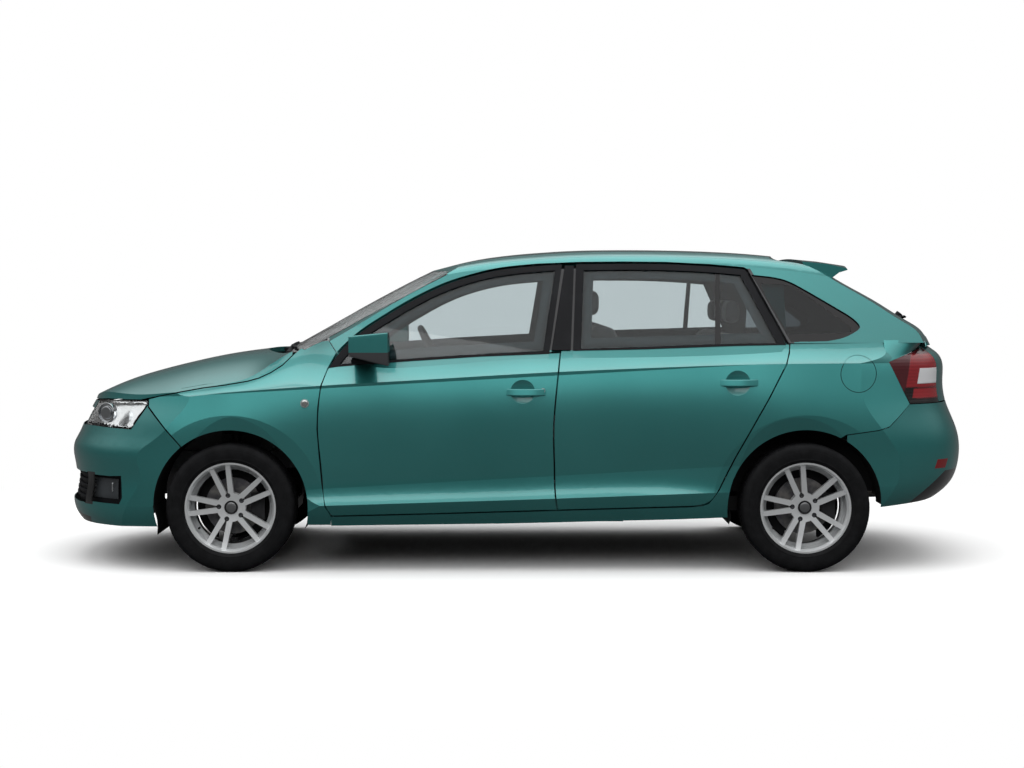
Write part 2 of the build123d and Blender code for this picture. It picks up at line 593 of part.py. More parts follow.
# ------------------------------------------------------------------ tailgate
TAILGATE_DEPTH = 34.0
GATE_LOW = 761.0
gate_outline = [(0, 1460), (500, 1460), (TAIL_SEAM_Y, 1405), (TAIL_SEAM_Y, GATE_LOW), (0, GATE_LOW)]
gate_face = Face(Wire.make_polygon([Vector(1200, y, z) for y, z in gate_outline]
                                   + [Vector(1200, -y, z) for y, z in reversed(gate_outline[1:-1])]))
gate_prism = Solid.extrude(gate_face, Vector(1000, 0, 0))
gate_cut = side_prism([(1000, 1300), (1000, 1500), (ROOF_SEAM_X + 6, 1500), (ROOF_SEAM_X + 6, 1384),
                       (1395, 1345), (1395, 600), (1000, 600)], near=-900, far=900)
gate_high = one(layer(cabin, upper_body(TAILGATE_DEPTH),
                      minus(gate_prism, gate_cut, block(0, 2300, -900, 900, 0, 1020))))
gate_low = one(layer(outer, lower_body(TAILGATE_DEPTH), common(gate_prism,
                                                               block(1500, 2300, -900, 900, 600, 1042))))
plate_recess = layer(outer, lower_body(9.0), block(1900, 2300, -270, 270, 800, 925))
rear_glass_outline = [(0, 1352), (440, 1345), (510, 1320), (545, 1120), (540, 1075), (500, 1058), (0, 1052)]
rear_opening = Solid.extrude(
    Face(Wire.make_polygon([Vector(1400, y, z) for y, z in rear_glass_outline]
                           + [Vector(1400, -y, z) for y, z in reversed(rear_glass_outline[1:-1])])),
    Vector(800, 0, 0))
rear_layer = minus(common(past_glass(BACKLIGHT, REAR_BOW, 1, 8.0), cabin),
                   past_glass(BACKLIGHT, REAR_BOW, 1, 3.0))
rear_glass = one(common(rear_layer, rear_opening))


def spoiler_section(y):
    """Cross-section of the roof spoiler at one place across the car."""
    drop = 18 * (y / 534) ** 2
    back = 1.6e-4 * y * y
    profile = [(1340, 1427), (1450, 1417), (1592 - back, 1397), (1600 - back, 1388), (1560 - back, 1376),
               (1480, 1352),
               (1420, 1362), (1350, 1395)]
    return Wire.make_polygon([Vector(x, y, z - drop) for x, z in profile])


spoiler = Solid.make_loft([spoiler_section(y) for y in (-550, -275, 0, 275, 550)])
tailgate = one(minus(joined(gate_high, gate_low, spoiler), rear_opening, plate_recess))
save("tailgate", tailgate)
save("tailgate_glass", rear_glass)
wiper_hub = Solid.make_cylinder(17, 70, Plane(origin=(1868, 0, 1108), z_dir=(0.62, 0, 0.78)))
wiper_arm = Solid.make_loft([
    Wire.make_rect(9, 20, Plane(origin=(1893, -6, 1140), x_dir=(0.62, 0, 0.78), z_dir=(0, -1, 0))),
    Wire.make_rect(6, 12, Plane(origin=(1868, -330, 1150), x_dir=(0.62, 0, 0.78), z_dir=(0, -1, 0)))])
save("rear_wiper", minus(joined(one(minus(wiper_hub, cabin)), wiper_arm), rear_glass))

# ------------------------------------------------------------------ wheels
WHEEL_Z = TYRE_RADIUS
HUB_FACE = 34.0
SPOKE_SPREAD = 11.3
SPOKE_START = 33.0


def turned(points, smooth=()):
    """Ring or disc turned about Z from its half section, given as radius and height."""
    return revolve(Face(Wire.make_polygon([Vector(r, 0, z) for r, z in points])), Axis.Z)


def tyre():
    """Tyre about Z, its outer side wall towards +Z."""
    half = TYRE_WIDTH / 2
    shoulder = TYRE_RADIUS - 12
    bead = RIM_RADIUS - 9
    bead_edge = RIM_WIDTH / 2 - 13.6
    lip = RIM_RADIUS + 3.4
    outline = [
        Edge.make_line(Vector(bead, 0, -bead_edge), Vector(bead, 0, bead_edge)),
        Edge.make_line(Vector(bead, 0, bead_edge), Vector(lip, 0, bead_edge + 6.2)),
        Edge.make_line(Vector(lip, 0, bead_edge + 6.2), Vector(lip, 0, half - 11)),
        Edge.make_spline([Vector(lip, 0, half - 11), Vector(236, 0, half), Vector(266, 0, half - 6),
                          Vector(shoulder, 0, half - 18)]),
        Edge.make_spline([Vector(shoulder, 0, half - 18), Vector(shoulder + 7, 0, half - 28),
                          Vector(TYRE_RADIUS - 1.5, 0, half - 45), Vector(TYRE_RADIUS, 0, 0),
                          Vector(TYRE_RADIUS - 1.5, 0, 45 - half), Vector(shoulder + 7, 0, 28 - half),
                          Vector(shoulder, 0, 18 - half)]),
        Edge.make_spline([Vector(shoulder, 0, 18 - half), Vector(266, 0, 6 - half), Vector(236, 0, -half),
                          Vector(lip, 0, 11 - half)]),
        Edge.make_line(Vector(lip, 0, 11 - half), Vector(lip, 0, -bead_edge - 6.2)),
        Edge.make_line(Vector(lip, 0, -bead_edge - 6.2), Vector(bead, 0, -bead_edge))]
    grooves = [minus(Solid.make_cylinder(TYRE_RADIUS + 5, 9, Plane(origin=(0, 0, z - 4.5))),
                     Solid.make_cylinder(TYRE_RADIUS - TREAD_DEPTH, 9, Plane(origin=(0, 0, z - 4.5))))
               for z in (-51, -17, 17, 51)]
    return one(minus(revolve(Face(Wire(outline)), Axis.Z), *grooves))


def rim():
    """Alloy rim about Z with paired spokes, its brake disc joined to the hub behind them."""
    half = RIM_WIDTH / 2
    barrel = turned([(RIM_RADIUS + 3, half), (RIM_RADIUS + 3, half - 7), (RIM_RADIUS - 9.3, half - 13),
                     (RIM_RADIUS - 9.3, 30), (RIM_RADIUS - 26, 18), (RIM_RADIUS - 26, -30),
                     (RIM_RADIUS - 9.3, -44),
                     (RIM_RADIUS - 9.3, 13 - half), (RIM_RADIUS + 3, 7 - half), (RIM_RADIUS + 3, -half),
                     (RIM_RADIUS - 6, -half), (RIM_RADIUS - 17, -50), (RIM_RADIUS - 33, -34),
                     (RIM_RADIUS - 33, 14),
                     (RIM_RADIUS - 24, 26), (RIM_RADIUS - 17, 40), (RIM_RADIUS - 15, half - 16),
                     (RIM_RADIUS - 5, half)])
    dish = revolve(Face(Wire([
        Edge.make_spline([Vector(0, 0, 50), Vector(40, 0, 52), Vector(90, 0, 58), Vector(150, 0, 66),
                          Vector(RIM_RADIUS - 10, 0, half - 10)]),
        Edge.make_line(Vector(RIM_RADIUS - 10, 0, half - 10), Vector(RIM_RADIUS - 13, 0, 34)),
        Edge.make_spline([Vector(RIM_RADIUS - 13, 0, 34), Vector(150, 0, 36), Vector(90, 0, 30),
                          Vector(40, 0, 24),
                          Vector(0, 0, 24)]),
        Edge.make_line(Vector(0, 0, 24), Vector(0, 0, 50))])), Axis.Z)
    arms = [Solid.make_cylinder(66, 60)]
    for pair in range(SPOKE_PAIRS):
        for step in (-SPOKE_SPREAD, SPOKE_SPREAD):
            centre = radians(SPOKE_START + 72 * pair)
            tip = radians(SPOKE_START + 72 * pair + step)
            side = 13 if step > 0 else -13
            start = Vector(46 * cos(centre) - side * sin(centre), 46 * sin(centre) + side * cos(centre), 0)
            end = Vector((RIM_RADIUS - 10) * cos(tip), (RIM_RADIUS - 10) * sin(tip), 0)
            run = (end - start).normalized()
            across = Vector(-run.Y, run.X, 0)
            arms.append(Solid.extrude(Face(Wire.make_polygon([
                start + across * 13, start - across * 13, end - across * 11, end + across * 11])),
                                      Vector(0, 0, 90)))
    spokes = common(joined(*arms), one(dish))
    hub = turned([(0, 24), (60, 24), (66, 18), (66, HUB_FACE - 30), (62, -14), (62, -22), (DISC_RADIUS, -22),
                  (DISC_RADIUS, -44), (0, -44)])
    wheel = joined(one(barrel), one(spokes), one(hub))
    for pair in range(SPOKE_PAIRS):
        angle = radians(SPOKE_START + 72 * pair)
        bolt = Solid.make_cylinder(11, 40, Plane(origin=(BOLT_CIRCLE * cos(angle), BOLT_CIRCLE * sin(angle),
                                                         42)))
        wheel = minus(wheel, bolt)
    return one(wheel)


def place_wheel(shape, x, track, hand):
    """Put a wheel made about Z on its axle, its outer side facing outwards."""
    plane = Plane(origin=(x, hand * track / 2, WHEEL_Z), x_dir=(1, 0, 0), z_dir=(0, hand, 0))
    return plane.location * shape


tyre_shape = tyre()
rim_shape = rim()
for end, x, track in (("front", FRONT_AXLE_X, FRONT_TRACK), ("rear", REAR_AXLE_X, REAR_TRACK)):
    for side_name, hand in (("left", -1), ("right", 1)):
        save(f"{end}_tyre_{side_name}", place_wheel(tyre_shape, x, track, hand))
        save(f"{end}_rim_{side_name}", place_wheel(rim_shape, x, track, hand))

# ------------------------------------------------------------------ front suspension and steering
KINGPIN_LOW = (FRONT_AXLE_X, -672.0, 150.0)
KINGPIN_TOP = (FRONT_AXLE_X, -540.0, 820.0)
DISC_INNER = 44.0
DISC_OUTER = 22.0
BALL_RADIUS = 10.0
ARM_ROOT = Vector(0, -300, 205)
ARM_END = Vector(0, -685, 142)
ARM_THICK = 15.0
kingpin = Vector(*KINGPIN_TOP) - Vector(*KINGPIN_LOW)
kingpin_axis = kingpin.normalized()


def on_kingpin(distance):
    """Point on the driver's side kingpin line, measured up from the lower ball joint."""
    return Vector(*KINGPIN_LOW) + kingpin_axis * distance


def strut_tube(start, end, radius):
    """Round part of the strut between two distances along the kingpin line."""
    return Solid.make_cylinder(radius, end - start, Plane(origin=on_kingpin(start), z_dir=kingpin_axis))


def caliper_on(axle_x, track, inner_y):
    """Brake caliper astride the disc, on the rear side of the axle, driver's side."""
    face = track / 2
    body = block(axle_x + 84, axle_x + 146, -face - 4, inner_y, WHEEL_Z - 62, WHEEL_Z + 62)
    slot = cross_tube(axle_x, WHEEL_Z, DISC_RADIUS + 6, face - DISC_INNER - 6, face - DISC_OUTER + 6)
    return one(body.cut(slot))


def stub_axle(axle_x, track, inner_y):
    """Stub axle that carries the wheel hub, driver's side."""
    return cross_tube(axle_x, WHEEL_Z, 30, -inner_y, track / 2 - DISC_INNER - 0.4)


def knuckle_section(distance, length, width):
    """Rectangular section of the upright across the kingpin line."""
    return Wire.make_rect(length, width, Plane(origin=on_kingpin(distance), x_dir=(1, 0, 0),
                                               z_dir=kingpin_axis))


arm_up = Vector(1, 0, 0).cross(ARM_ROOT - ARM_END).normalized()
ball_rise = (BALL_RADIUS + STOP_GAP - (Vector(*KINGPIN_LOW) - ARM_END).dot(arm_up)) / kingpin_axis.dot(arm_up)
ball_joint = Solid.make_sphere(BALL_RADIUS, angle1=-90).moved(Location(on_kingpin(ball_rise)))
upright = Solid.make_loft([knuckle_section(ball_rise + 1, 40, 20), knuckle_section(130, 96, 32),
                           knuckle_section(290, 50, 36)])
steering_arm = block(FRONT_AXLE_X, FRONT_AXLE_X + 120, -668, -642, 236, 262)
caliper_arm = block(FRONT_AXLE_X, FRONT_AXLE_X + 110, -668, -644, WHEEL_Z - 24, WHEEL_Z + 24)
knuckle = joined(stub_axle(FRONT_AXLE_X, FRONT_TRACK, -640), upright, ball_joint, steering_arm, caliper_arm,
                 caliper_on(FRONT_AXLE_X, FRONT_TRACK, -646), strut_tube(250, 645, 22),
                 strut_tube(640, 658, 12), strut_tube(472, 477, 58),
                 strut_tube(475, 640, 46))
save_pair("steering_knuckle", one(knuckle))

subframe = [block(FRONT_AXLE_X + 20, FRONT_AXLE_X + 210, -330, 330, 186, 236),
            block(FRONT_AXLE_X + 150, FRONT_AXLE_X + 200, -456, 456, 196, 230)]
for hand in (-1, 1):
    near, far = sorted((hand * 402, hand * 456))
    subframe.append(block(FRONT_AXLE_X + 150, FRONT_AXLE_X + 200, near, far, 196, 440.7))
    subframe.append(Solid.extrude(Face(Wire.make_polygon([
        Vector(FRONT_AXLE_X + 20, -hand * ARM_ROOT.Y, ARM_ROOT.Z),
        Vector(FRONT_AXLE_X - 16, -hand * ARM_END.Y, ARM_END.Z),
        Vector(FRONT_AXLE_X + 16, -hand * ARM_END.Y, ARM_END.Z),
        Vector(FRONT_AXLE_X + 100, hand * 520, 169),
        Vector(FRONT_AXLE_X + 200, -hand * ARM_ROOT.Y, ARM_ROOT.Z)])), Vector(0, 0, -ARM_THICK)))
save("front_subframe", one(joined(*subframe)))

STRUCTURE_Y = 400.0
behind_nose = lower_body(DOOR_DEPTH + 28)
front_rails = [layer(under_door, behind_nose, block(-2200, -1820, -600, 600, 440, 540)),
               common(under_door, block(-2040, -1890, -610, 610, 700, 716)),
               common(under_door, block(-1920, -1890, -610, 610, 300, 716))]
for hand in (-1, 1):
    near, far = sorted((hand * STRUCTURE_Y, hand * 458))
    front_rails.append(common(under_door, block(-2060, -880, near, far, 441, 520)))
    near, far = sorted((hand * 430, hand * 668))
    tower = block(FRONT_AXLE_X - 90, FRONT_AXLE_X + 90, near, far, 801, 812)
    inner_near, inner_far = sorted((hand * 430, hand * 440))
    front_rails += [tower, block(FRONT_AXLE_X - 90, FRONT_AXLE_X + 90, inner_near, inner_far, 500, 805)]
    near, far = sorted((hand * 380, hand * 406))
    front_rails.append(common(lower_body(BONNET_DEPTH + STOP_GAP), block(-1920, -1894, near, far, 702, 900)))
radiator_void = block(-1950, -1800, -330, 330, 330, 680)
save("front_structure", one(minus(joined(*front_rails), radiator_void)))
save("radiator", block(-1915, -1892, -330, 330, 330, 680))
save("engine_block", block(-1640, -1140, -399.7, 399.7, 300, 740))

# ------------------------------------------------------------------ floor, bulkhead and rear structure
TUNNEL_HALF = 130.0
FLOOR_Z = 215.0
SEAT_PAN_Z = 330.0
BOOT_Z = 400.0
WELL_RADIUS = 260.0
half_floor = [(0, 330), (TUNNEL_HALF - 30, 326), (TUNNEL_HALF, 300), (TUNNEL_HALF + 8, FLOOR_Z + 4),
              (SILL_INNER, FLOOR_Z + 4),
              (SILL_INNER, FLOOR_Z), (TUNNEL_HALF + 4, FLOOR_Z), (TUNNEL_HALF - 4, 296),
              (TUNNEL_HALF - 34, 322), (0, 326)]
floor_wire = Wire.make_polygon([Vector(-868, y, z) for y, z in half_floor]
                               + [Vector(-868, -y, z) for y, z in reversed(half_floor[1:-1])])
front_floor = Solid.extrude(Face(floor_wire), Vector(1368, 0, 0))
tunnel_way = block(495, 510, -TUNNEL_HALF, TUNNEL_HALF, FLOOR_Z - 5, 322)
floor_steps = [minus(block(500, 504, -SILL_INNER, SILL_INNER, FLOOR_Z, SEAT_PAN_Z + 4), tunnel_way),
               block(500, 964, -SILL_INNER, SILL_INNER, SEAT_PAN_Z, SEAT_PAN_Z + 4),
               block(960, 964, -SILL_INNER, SILL_INNER, SEAT_PAN_Z, BOOT_Z + 4),
               common(under_grille_back, block(960, 2200, -598, 598, BOOT_Z, BOOT_Z + 4)),
               Solid.make_cylinder(WELL_RADIUS, 126, Plane(origin=(1660, 0, BOOT_Z - 122)))]
well_inside = Solid.make_cylinder(WELL_RADIUS - 4, 130, Plane(origin=(1660, 0, BOOT_Z - 118)))
save("floor_pan", one(minus(joined(front_floor, *floor_steps), well_inside)))
bulkhead = minus(block(-880, -868, -735, 735, FLOOR_Z, 932), block(-900, -860, -90, 90, 200, 330))
save("bulkhead", one(bulkhead))
rear_panel = [layer(under_grille, under_grille_back, block(1900, 2300, -640, 640, BOOT_Z - 60, 752))]
for hand in (-1, 1):
    near, far = sorted((hand * 400, hand * 430))
    rear_panel.append(layer(under_grille, under_grille_back,
                            block(1900, 2300, near, far, 740, GATE_LOW - STOP_GAP)))
save("rear_panel", one(joined(*rear_panel)))


def cowl_strip(x_front, x_rear, z_low, z_high):
    """Plate between two bowed lines across the car."""
    return common(minus(ahead_of(x_rear), ahead_of(x_front)), block(-1400, -800, -668, 668, z_low, z_high))


cowl = joined(cowl_strip(-1225, -1085, 932, 938), cowl_strip(-1098, -1085, 932, 984),
              block(-1000, -868, -560, 560, 932, 938))
save("cowl", one(cowl))

liners = []
for axle_x, inner, closed in ((FRONT_AXLE_X, 470, False), (REAR_AXLE_X, 600, True)):
    tube = cross_tube(axle_x, ARCH_Z, ARCH_RADIUS + 5, inner, 800)
    bore = cross_tube(axle_x, ARCH_Z, ARCH_RADIUS + 2, inner + (4 if closed else -5), 805)
    shell = common(minus(tube, bore), block(axle_x - 400, axle_x + 400, -900, -400,
                                            262 if not closed else 300, 700))
    if not closed:
        shell = minus(shell, strut_tube(420, 640, 68))
        shell = minus(shell, block(-868 - 60, -800, -900, -400, 200, 1000))
    if closed:
        shell = minus(shell, block(axle_x - 400, axle_x + 400, -640, -560, 200, 345))
    liner = one(minus(shell, body_side, fender, front_bumper, rear_bumper))
    liners += [liner, mirrored(liner)]
save("arch_liners", Compound([solid for liner in liners for solid in liner.solids()]))

beam = cross_tube(REAR_AXLE_X - 250, WHEEL_Z, 40, -560, 560)
rear_axle = [beam]
arm_path = [Wire.make_rect(60, 56, Plane(origin=(REAR_AXLE_X - 440, -545, 278), x_dir=(0, 1, 0),
                                         z_dir=(1, 0, 0))),
            Wire.make_rect(54, 70, Plane(origin=(REAR_AXLE_X - 220, -560, 288), x_dir=(0, 1, 0),
                                         z_dir=(1, 0, 0))),
            Wire.make_rect(40, 70, Plane(origin=(REAR_AXLE_X + 34, -640, 288), x_dir=(0, 1, 0),
                                         z_dir=(1, 0, 0)))]
left_arm = [Solid.make_loft(arm_path), stub_axle(REAR_AXLE_X, REAR_TRACK, -640),
            caliper_on(REAR_AXLE_X, REAR_TRACK, -650), block(REAR_AXLE_X, REAR_AXLE_X + 110, -668, -640, 264,
                                                             312),
            cross_tube(REAR_AXLE_X - 440, 278, 36, 505, 585),
            Solid.make_cylinder(58, 6, Plane(origin=(REAR_AXLE_X - 120, -540, 300))),
            Solid.make_cylinder(44, 96.7, Plane(origin=(REAR_AXLE_X - 120, -540, 303)))]
for part in left_arm:
    rear_axle += [part, mirrored(part)]
save("rear_axle", one(joined(*rear_axle)))
save("fuel_tank", fillet(block(530, 840, -10, 480, 205, SEAT_PAN_Z - 0.3).edges(), 18))
pipe_path = Polyline((-900, -60, 262), (880, -60, 262), (985, -60, 222), (1160, -60, 222), (1330, -330, 260),
                     (1500, -430, 320), (1700, -450, 340))
pipe = sweep(Plane(origin=(-900, -60, 262), z_dir=(1, 0, 0)) * Circle(24), path=pipe_path,
             transition=Transition.ROUND)
silencer = fillet(block(1690, 1930, -580, -340, 300, BOOT_Z - 0.3).edges(), 30)
save("exhaust", one(joined(pipe, silencer)))

# ------------------------------------------------------------------ cabin
dash_profile = [(-867.7, 620), (-867.7, 950), (-960, 953), (-1010, 962), (-1000, 975), (-800, 1000),
                (-640, 985), (-575, 940),
                (-600, 860), (-650, 760), (-700, 640)]


def across(profile, y_low, y_high):
    """Prism across the car from a side-view profile."""
    return Solid.extrude(Face(Wire.make_polygon([Vector(x, y_low, z) for x, z in profile])),
                         Vector(0, y_high - y_low, 0))


dash = joined(across(dash_profile, -585, 585), common(across(dash_profile, -672, 672),
                                                      block(-810, -500, -700, 700, 600, 1100)))
WHEEL_CENTRE = Vector(-362, -350, 943)
COLUMN_AXIS = Vector(0.892, 0, 0.452)
column = Solid.make_cylinder(38, 333.7, Plane(origin=WHEEL_CENTRE - COLUMN_AXIS * 372, z_dir=COLUMN_AXIS))
save("dashboard", one(joined(minus(dash, ahead_of(-1080)), column)))
wheel_plane = Plane(origin=WHEEL_CENTRE, x_dir=(0, 1, 0), z_dir=COLUMN_AXIS)
wheel_ring = Solid.make_torus(171, 14, wheel_plane)
wheel_boss = Solid.make_cylinder(62, 50, Plane(origin=WHEEL_CENTRE - COLUMN_AXIS * 38, z_dir=COLUMN_AXIS))
wheel_spokes = [wheel_plane.location * Solid.make_box(120, 34, 14).moved(Location((50, -17, -14))),
                wheel_plane.location * Solid.make_box(120, 34, 14).moved(Location((-170, -17, -14))),
                wheel_plane.location * Solid.make_box(34, 122, 14).moved(Location((-17, -172, -14)))]
save("steering_wheel", one(joined(wheel_ring, wheel_boss, *wheel_spokes)))

seat_cushion = [(-290, 330), (-300, 420), (-262, 462), (130, 432), (240, 452), (290, 420), (290, 330)]
seat_back = [(140, 440), (215, 980), (240, 1060), (330, 1068), (384, 1040), (300, 440)]
head_rest = [(238, 1100), (244, 1230), (270, 1280), (330, 1286), (372, 1250), (388, 1160), (360, 1105)]
seat = joined(across(seat_cushion, -600, -110), across(seat_back, -590, -120), across(head_rest, -480, -230),
              across([(285, 1050), (285, 1110), (320, 1110), (320, 1050)], -400, -310),
              across([(-200, FLOOR_Z + 4), (-200, 335), (200, 335), (200, FLOOR_Z + 4)], -560, -150))
save("front_seats", Compound([one(seat), mirrored(one(seat))]))
bench = [across([(470, 334.3), (462, 430), (510, 466), (900, 430), (959.7, 424), (959.7, 334.3),
                 (470, 334.3)], -592, 592),
         across([(876, 412), (985, 1080), (1040, 1096), (1085, 1070), (975, 412)], -592, 592)]
for y in (-360, 0, 360):
    bench.append(across([(1012, 1085), (1016, 1200), (1040, 1236), (1090, 1236), (1112, 1190), (1100, 1085),
                         (1060, 1070)],
                        y - 120, y + 120))
save("rear_seat", one(joined(*bench)))
shelf = joined(block(1110, 1850, -590, 590, 985, 1000), common(under_panel,
                                                               block(1262, 1680, -900, 900, 985, 1000)))
save("parcel_shelf", one(minus(shelf, body_side, mirrored(body_side))))

# ------------------------------------------------------------------ mirrors and wipers
mirror_head = fillet(block(-716, -556, -972, -858, 955, 1088).edges(), 24)
mirror_arm = block(-690, -610, -890, -772, 958, 985)
mirror_recess = fillet(block(-561, -540, -961, -869, 966, 1077).edges().filter_by(Axis.X), 18)
mirror_piece = minus(joined(mirror_head, mirror_arm), glass_back, mirror_recess)
mirror_piece = minus(mirror_piece, common(upper_body(GLASS_SINK - STOP_GAP), curved_prism(front_window)))
save_pair("door_mirror", one(mirror_piece))


def on_screen(y, z, proud):
    """Point on the windscreen's outer face, or proud of it."""
    return Vector(along(SCREEN, z) + SCREEN_BOW * y * y - proud, y, z)


def blade(y_start, y_end, z_start, z_end):
    """Wiper blade that follows the glass."""
    sections = []
    for step in range(5):
        share = step / 4
        centre = on_screen(y_start + share * (y_end - y_start), z_start + share * (z_end - z_start), 16.5)
        sections.append(Wire.make_rect(9, 11, Plane(origin=centre, x_dir=(0.874, 0, 0.486), z_dir=(0, 1, 0))))
    return Solid.make_loft(sections)


def wiper_arm_to(x_pivot, y_pivot, y_far):
    """Spindle and arm of one front wiper, from the cowl to the middle of its blade."""
    y_middle = (y_pivot + 30 + y_far) / 2
    tip = on_screen(y_middle, 1011, 20)
    top = Vector(x_pivot, y_pivot, 982)
    run = (tip - top).normalized()
    spindle = Solid.make_cylinder(12, 982 + 8 - 938.3, Plane(origin=(x_pivot, y_pivot, 938.3)))
    sections = [Wire.make_rect(8, 22, Plane(origin=top - run * 12, x_dir=(0.4, 0, 0.92), z_dir=run)),
                Wire.make_rect(6, 12, Plane(origin=tip, x_dir=(0.4, 0, 0.92), z_dir=run))]
    return joined(spindle, Solid.make_loft(sections))


wipers = []
for x_pivot, y_pivot, y_far in ((-1052, -480, 60), (-1122, 90, 560)):
    wiper = joined(blade(y_pivot + 30, y_far, 1006, 1016), wiper_arm_to(x_pivot, y_pivot, y_far))
    wipers.append(one(minus(wiper, windscreen)))
save("front_wipers", Compound(wipers))
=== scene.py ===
"""Finishes, fitted details and studio for a compact five-door hatchback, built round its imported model.

Lengths are in millimetres in the car's own drawing, with the nose towards -X, and become metres in at().
"""

from __future__ import annotations

import logging
import math
from dataclasses import dataclass, field
from enum import Enum
from typing import Callable, Sequence

import bmesh
import bpy
from mathutils import Matrix, Vector
from mathutils.bvhtree import BVHTree


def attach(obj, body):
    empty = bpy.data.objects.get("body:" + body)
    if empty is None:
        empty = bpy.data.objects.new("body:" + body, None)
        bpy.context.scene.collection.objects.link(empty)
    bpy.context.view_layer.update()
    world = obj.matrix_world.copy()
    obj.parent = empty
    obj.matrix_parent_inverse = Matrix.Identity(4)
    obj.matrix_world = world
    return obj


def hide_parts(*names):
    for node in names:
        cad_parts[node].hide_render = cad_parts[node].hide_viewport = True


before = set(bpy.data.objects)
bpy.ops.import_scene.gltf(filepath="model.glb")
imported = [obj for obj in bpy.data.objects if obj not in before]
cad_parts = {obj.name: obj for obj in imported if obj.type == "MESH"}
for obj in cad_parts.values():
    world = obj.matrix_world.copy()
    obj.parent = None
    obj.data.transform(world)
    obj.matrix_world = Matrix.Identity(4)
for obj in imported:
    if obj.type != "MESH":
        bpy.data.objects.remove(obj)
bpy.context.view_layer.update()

LOG = logging.getLogger("hatchback")
Colour = tuple[float, float, float]
Point = tuple[float, float, float]
Span = tuple[float, float]

LENGTH_MIDDLE = 11.2
FRONT_AXLE_X = -1282.0
REAR_AXLE_X = 1320.0
WHEEL_Z = 291.0
FRONT_FACE = 728.5
REAR_FACE = 747.0
DOUBLES = 0.00002


class Side(Enum):
    """The two sides of the car."""

    LEFT = -1
    RIGHT = 1

    @property
    def word(self) -> str:
        """The side's name as the model's nodes spell it."""
        return self.name.lower()


def at(x: float, y: float, z: float) -> Vector:
    """A place in the car's drawing, as a point in metres."""
    return Vector(((x - LENGTH_MIDDLE) / 1000, y / 1000, z / 1000))


def station(x: float) -> float:
    """A place along the car's drawing, in metres."""
    return at(x, 0, 0).x


# --------------------------------------------------------------------------- shader maths


def put(tree: bpy.types.NodeTree, socket: bpy.types.NodeSocket, value: object) -> None:
    """Set a socket to a number, a colour, a wrapped number or a link."""
    if isinstance(value, Maths):
        value = value.socket
    if isinstance(value, bpy.types.NodeSocket):
        tree.links.new(value, socket)
    elif isinstance(value, tuple) and socket.type == "RGBA":
        socket.default_value = (*value[:3], 1.0)
    else:
        socket.default_value = value


def add_node(tree: bpy.types.NodeTree, kind: str, settings: dict[str, object],
             sockets: dict[str | int, object]) -> bpy.types.Node:
    """Add a node.

    Args:
        tree: The tree it goes into.
        kind: The node's type.
        settings: Its properties, set first.
        sockets: Input values or links, by socket name or number.

    Returns:
        The new node.
    """
    node = tree.nodes.new(kind)
    for name, value in settings.items():
        setattr(node, name, value)
    for name, value in sockets.items():
        put(tree, node.inputs[name], value)
    return node


class Maths:
    """A number socket that Python's operators work on."""

    def __init__(self, tree: bpy.types.NodeTree, socket: bpy.types.NodeSocket) -> None:
        """Wrap one output socket of a node tree."""
        self.tree = tree
        self.socket = socket

    def _with(self, operation: str, *values: "Maths | float") -> "Maths":
        """The result of a Math node on these values."""
        node = add_node(self.tree, "ShaderNodeMath", {"operation": operation}, dict(enumerate(values)))
        return Maths(self.tree, node.outputs[0])

    def __add__(self, other: "Maths | float") -> "Maths":
        """Sum."""
        return self._with("ADD", self, other)

    def __radd__(self, other: float) -> "Maths":
        """Sum with a number on the left."""
        return self._with("ADD", other, self)

    def __sub__(self, other: "Maths | float") -> "Maths":
        """Difference."""
        return self._with("SUBTRACT", self, other)

    def __rsub__(self, other: float) -> "Maths":
        """Difference with a number on the left."""
        return self._with("SUBTRACT", other, self)

    def __mul__(self, other: "Maths | float") -> "Maths":
        """Product."""
        return self._with("MULTIPLY", self, other)

    def __rmul__(self, other: float) -> "Maths":
        """Product with a number on the left."""
        return self._with("MULTIPLY", other, self)

    def __truediv__(self, other: "Maths | float") -> "Maths":
        """Quotient."""
        return self._with("DIVIDE", self, other)

    def __abs__(self) -> "Maths":
        """Size without sign."""
        return self._with("ABSOLUTE", self)

    def power(self, exponent: float) -> "Maths":
        """Raise to a power."""
        return self._with("POWER", self, exponent)

    def least(self, other: "Maths | float") -> "Maths":
        """The smaller of two."""
        return self._with("MINIMUM", self, other)

    def most(self, other: "Maths | float") -> "Maths":
        """The larger of two."""
        return self._with("MAXIMUM", self, other)

    def wave(self) -> "Maths":
        """Sine."""
        return self._with("SINE", self)

    def step(self, low: float, high: float) -> "Maths":
        """A soft step: 0 below low, 1 above high."""
        node = add_node(self.tree, "ShaderNodeMapRange", {"interpolation_type": "SMOOTHSTEP"},
                        {"Value": self, "From Min": low, "From Max": high})
        return Maths(self.tree, node.outputs["Result"])

    def within(self, low: float, high: float, soft: float) -> "Maths":
        """1 between low and high, with soft edges."""
        return self.step(low - soft, low + soft) * (1 - self.step(high - soft, high + soft))


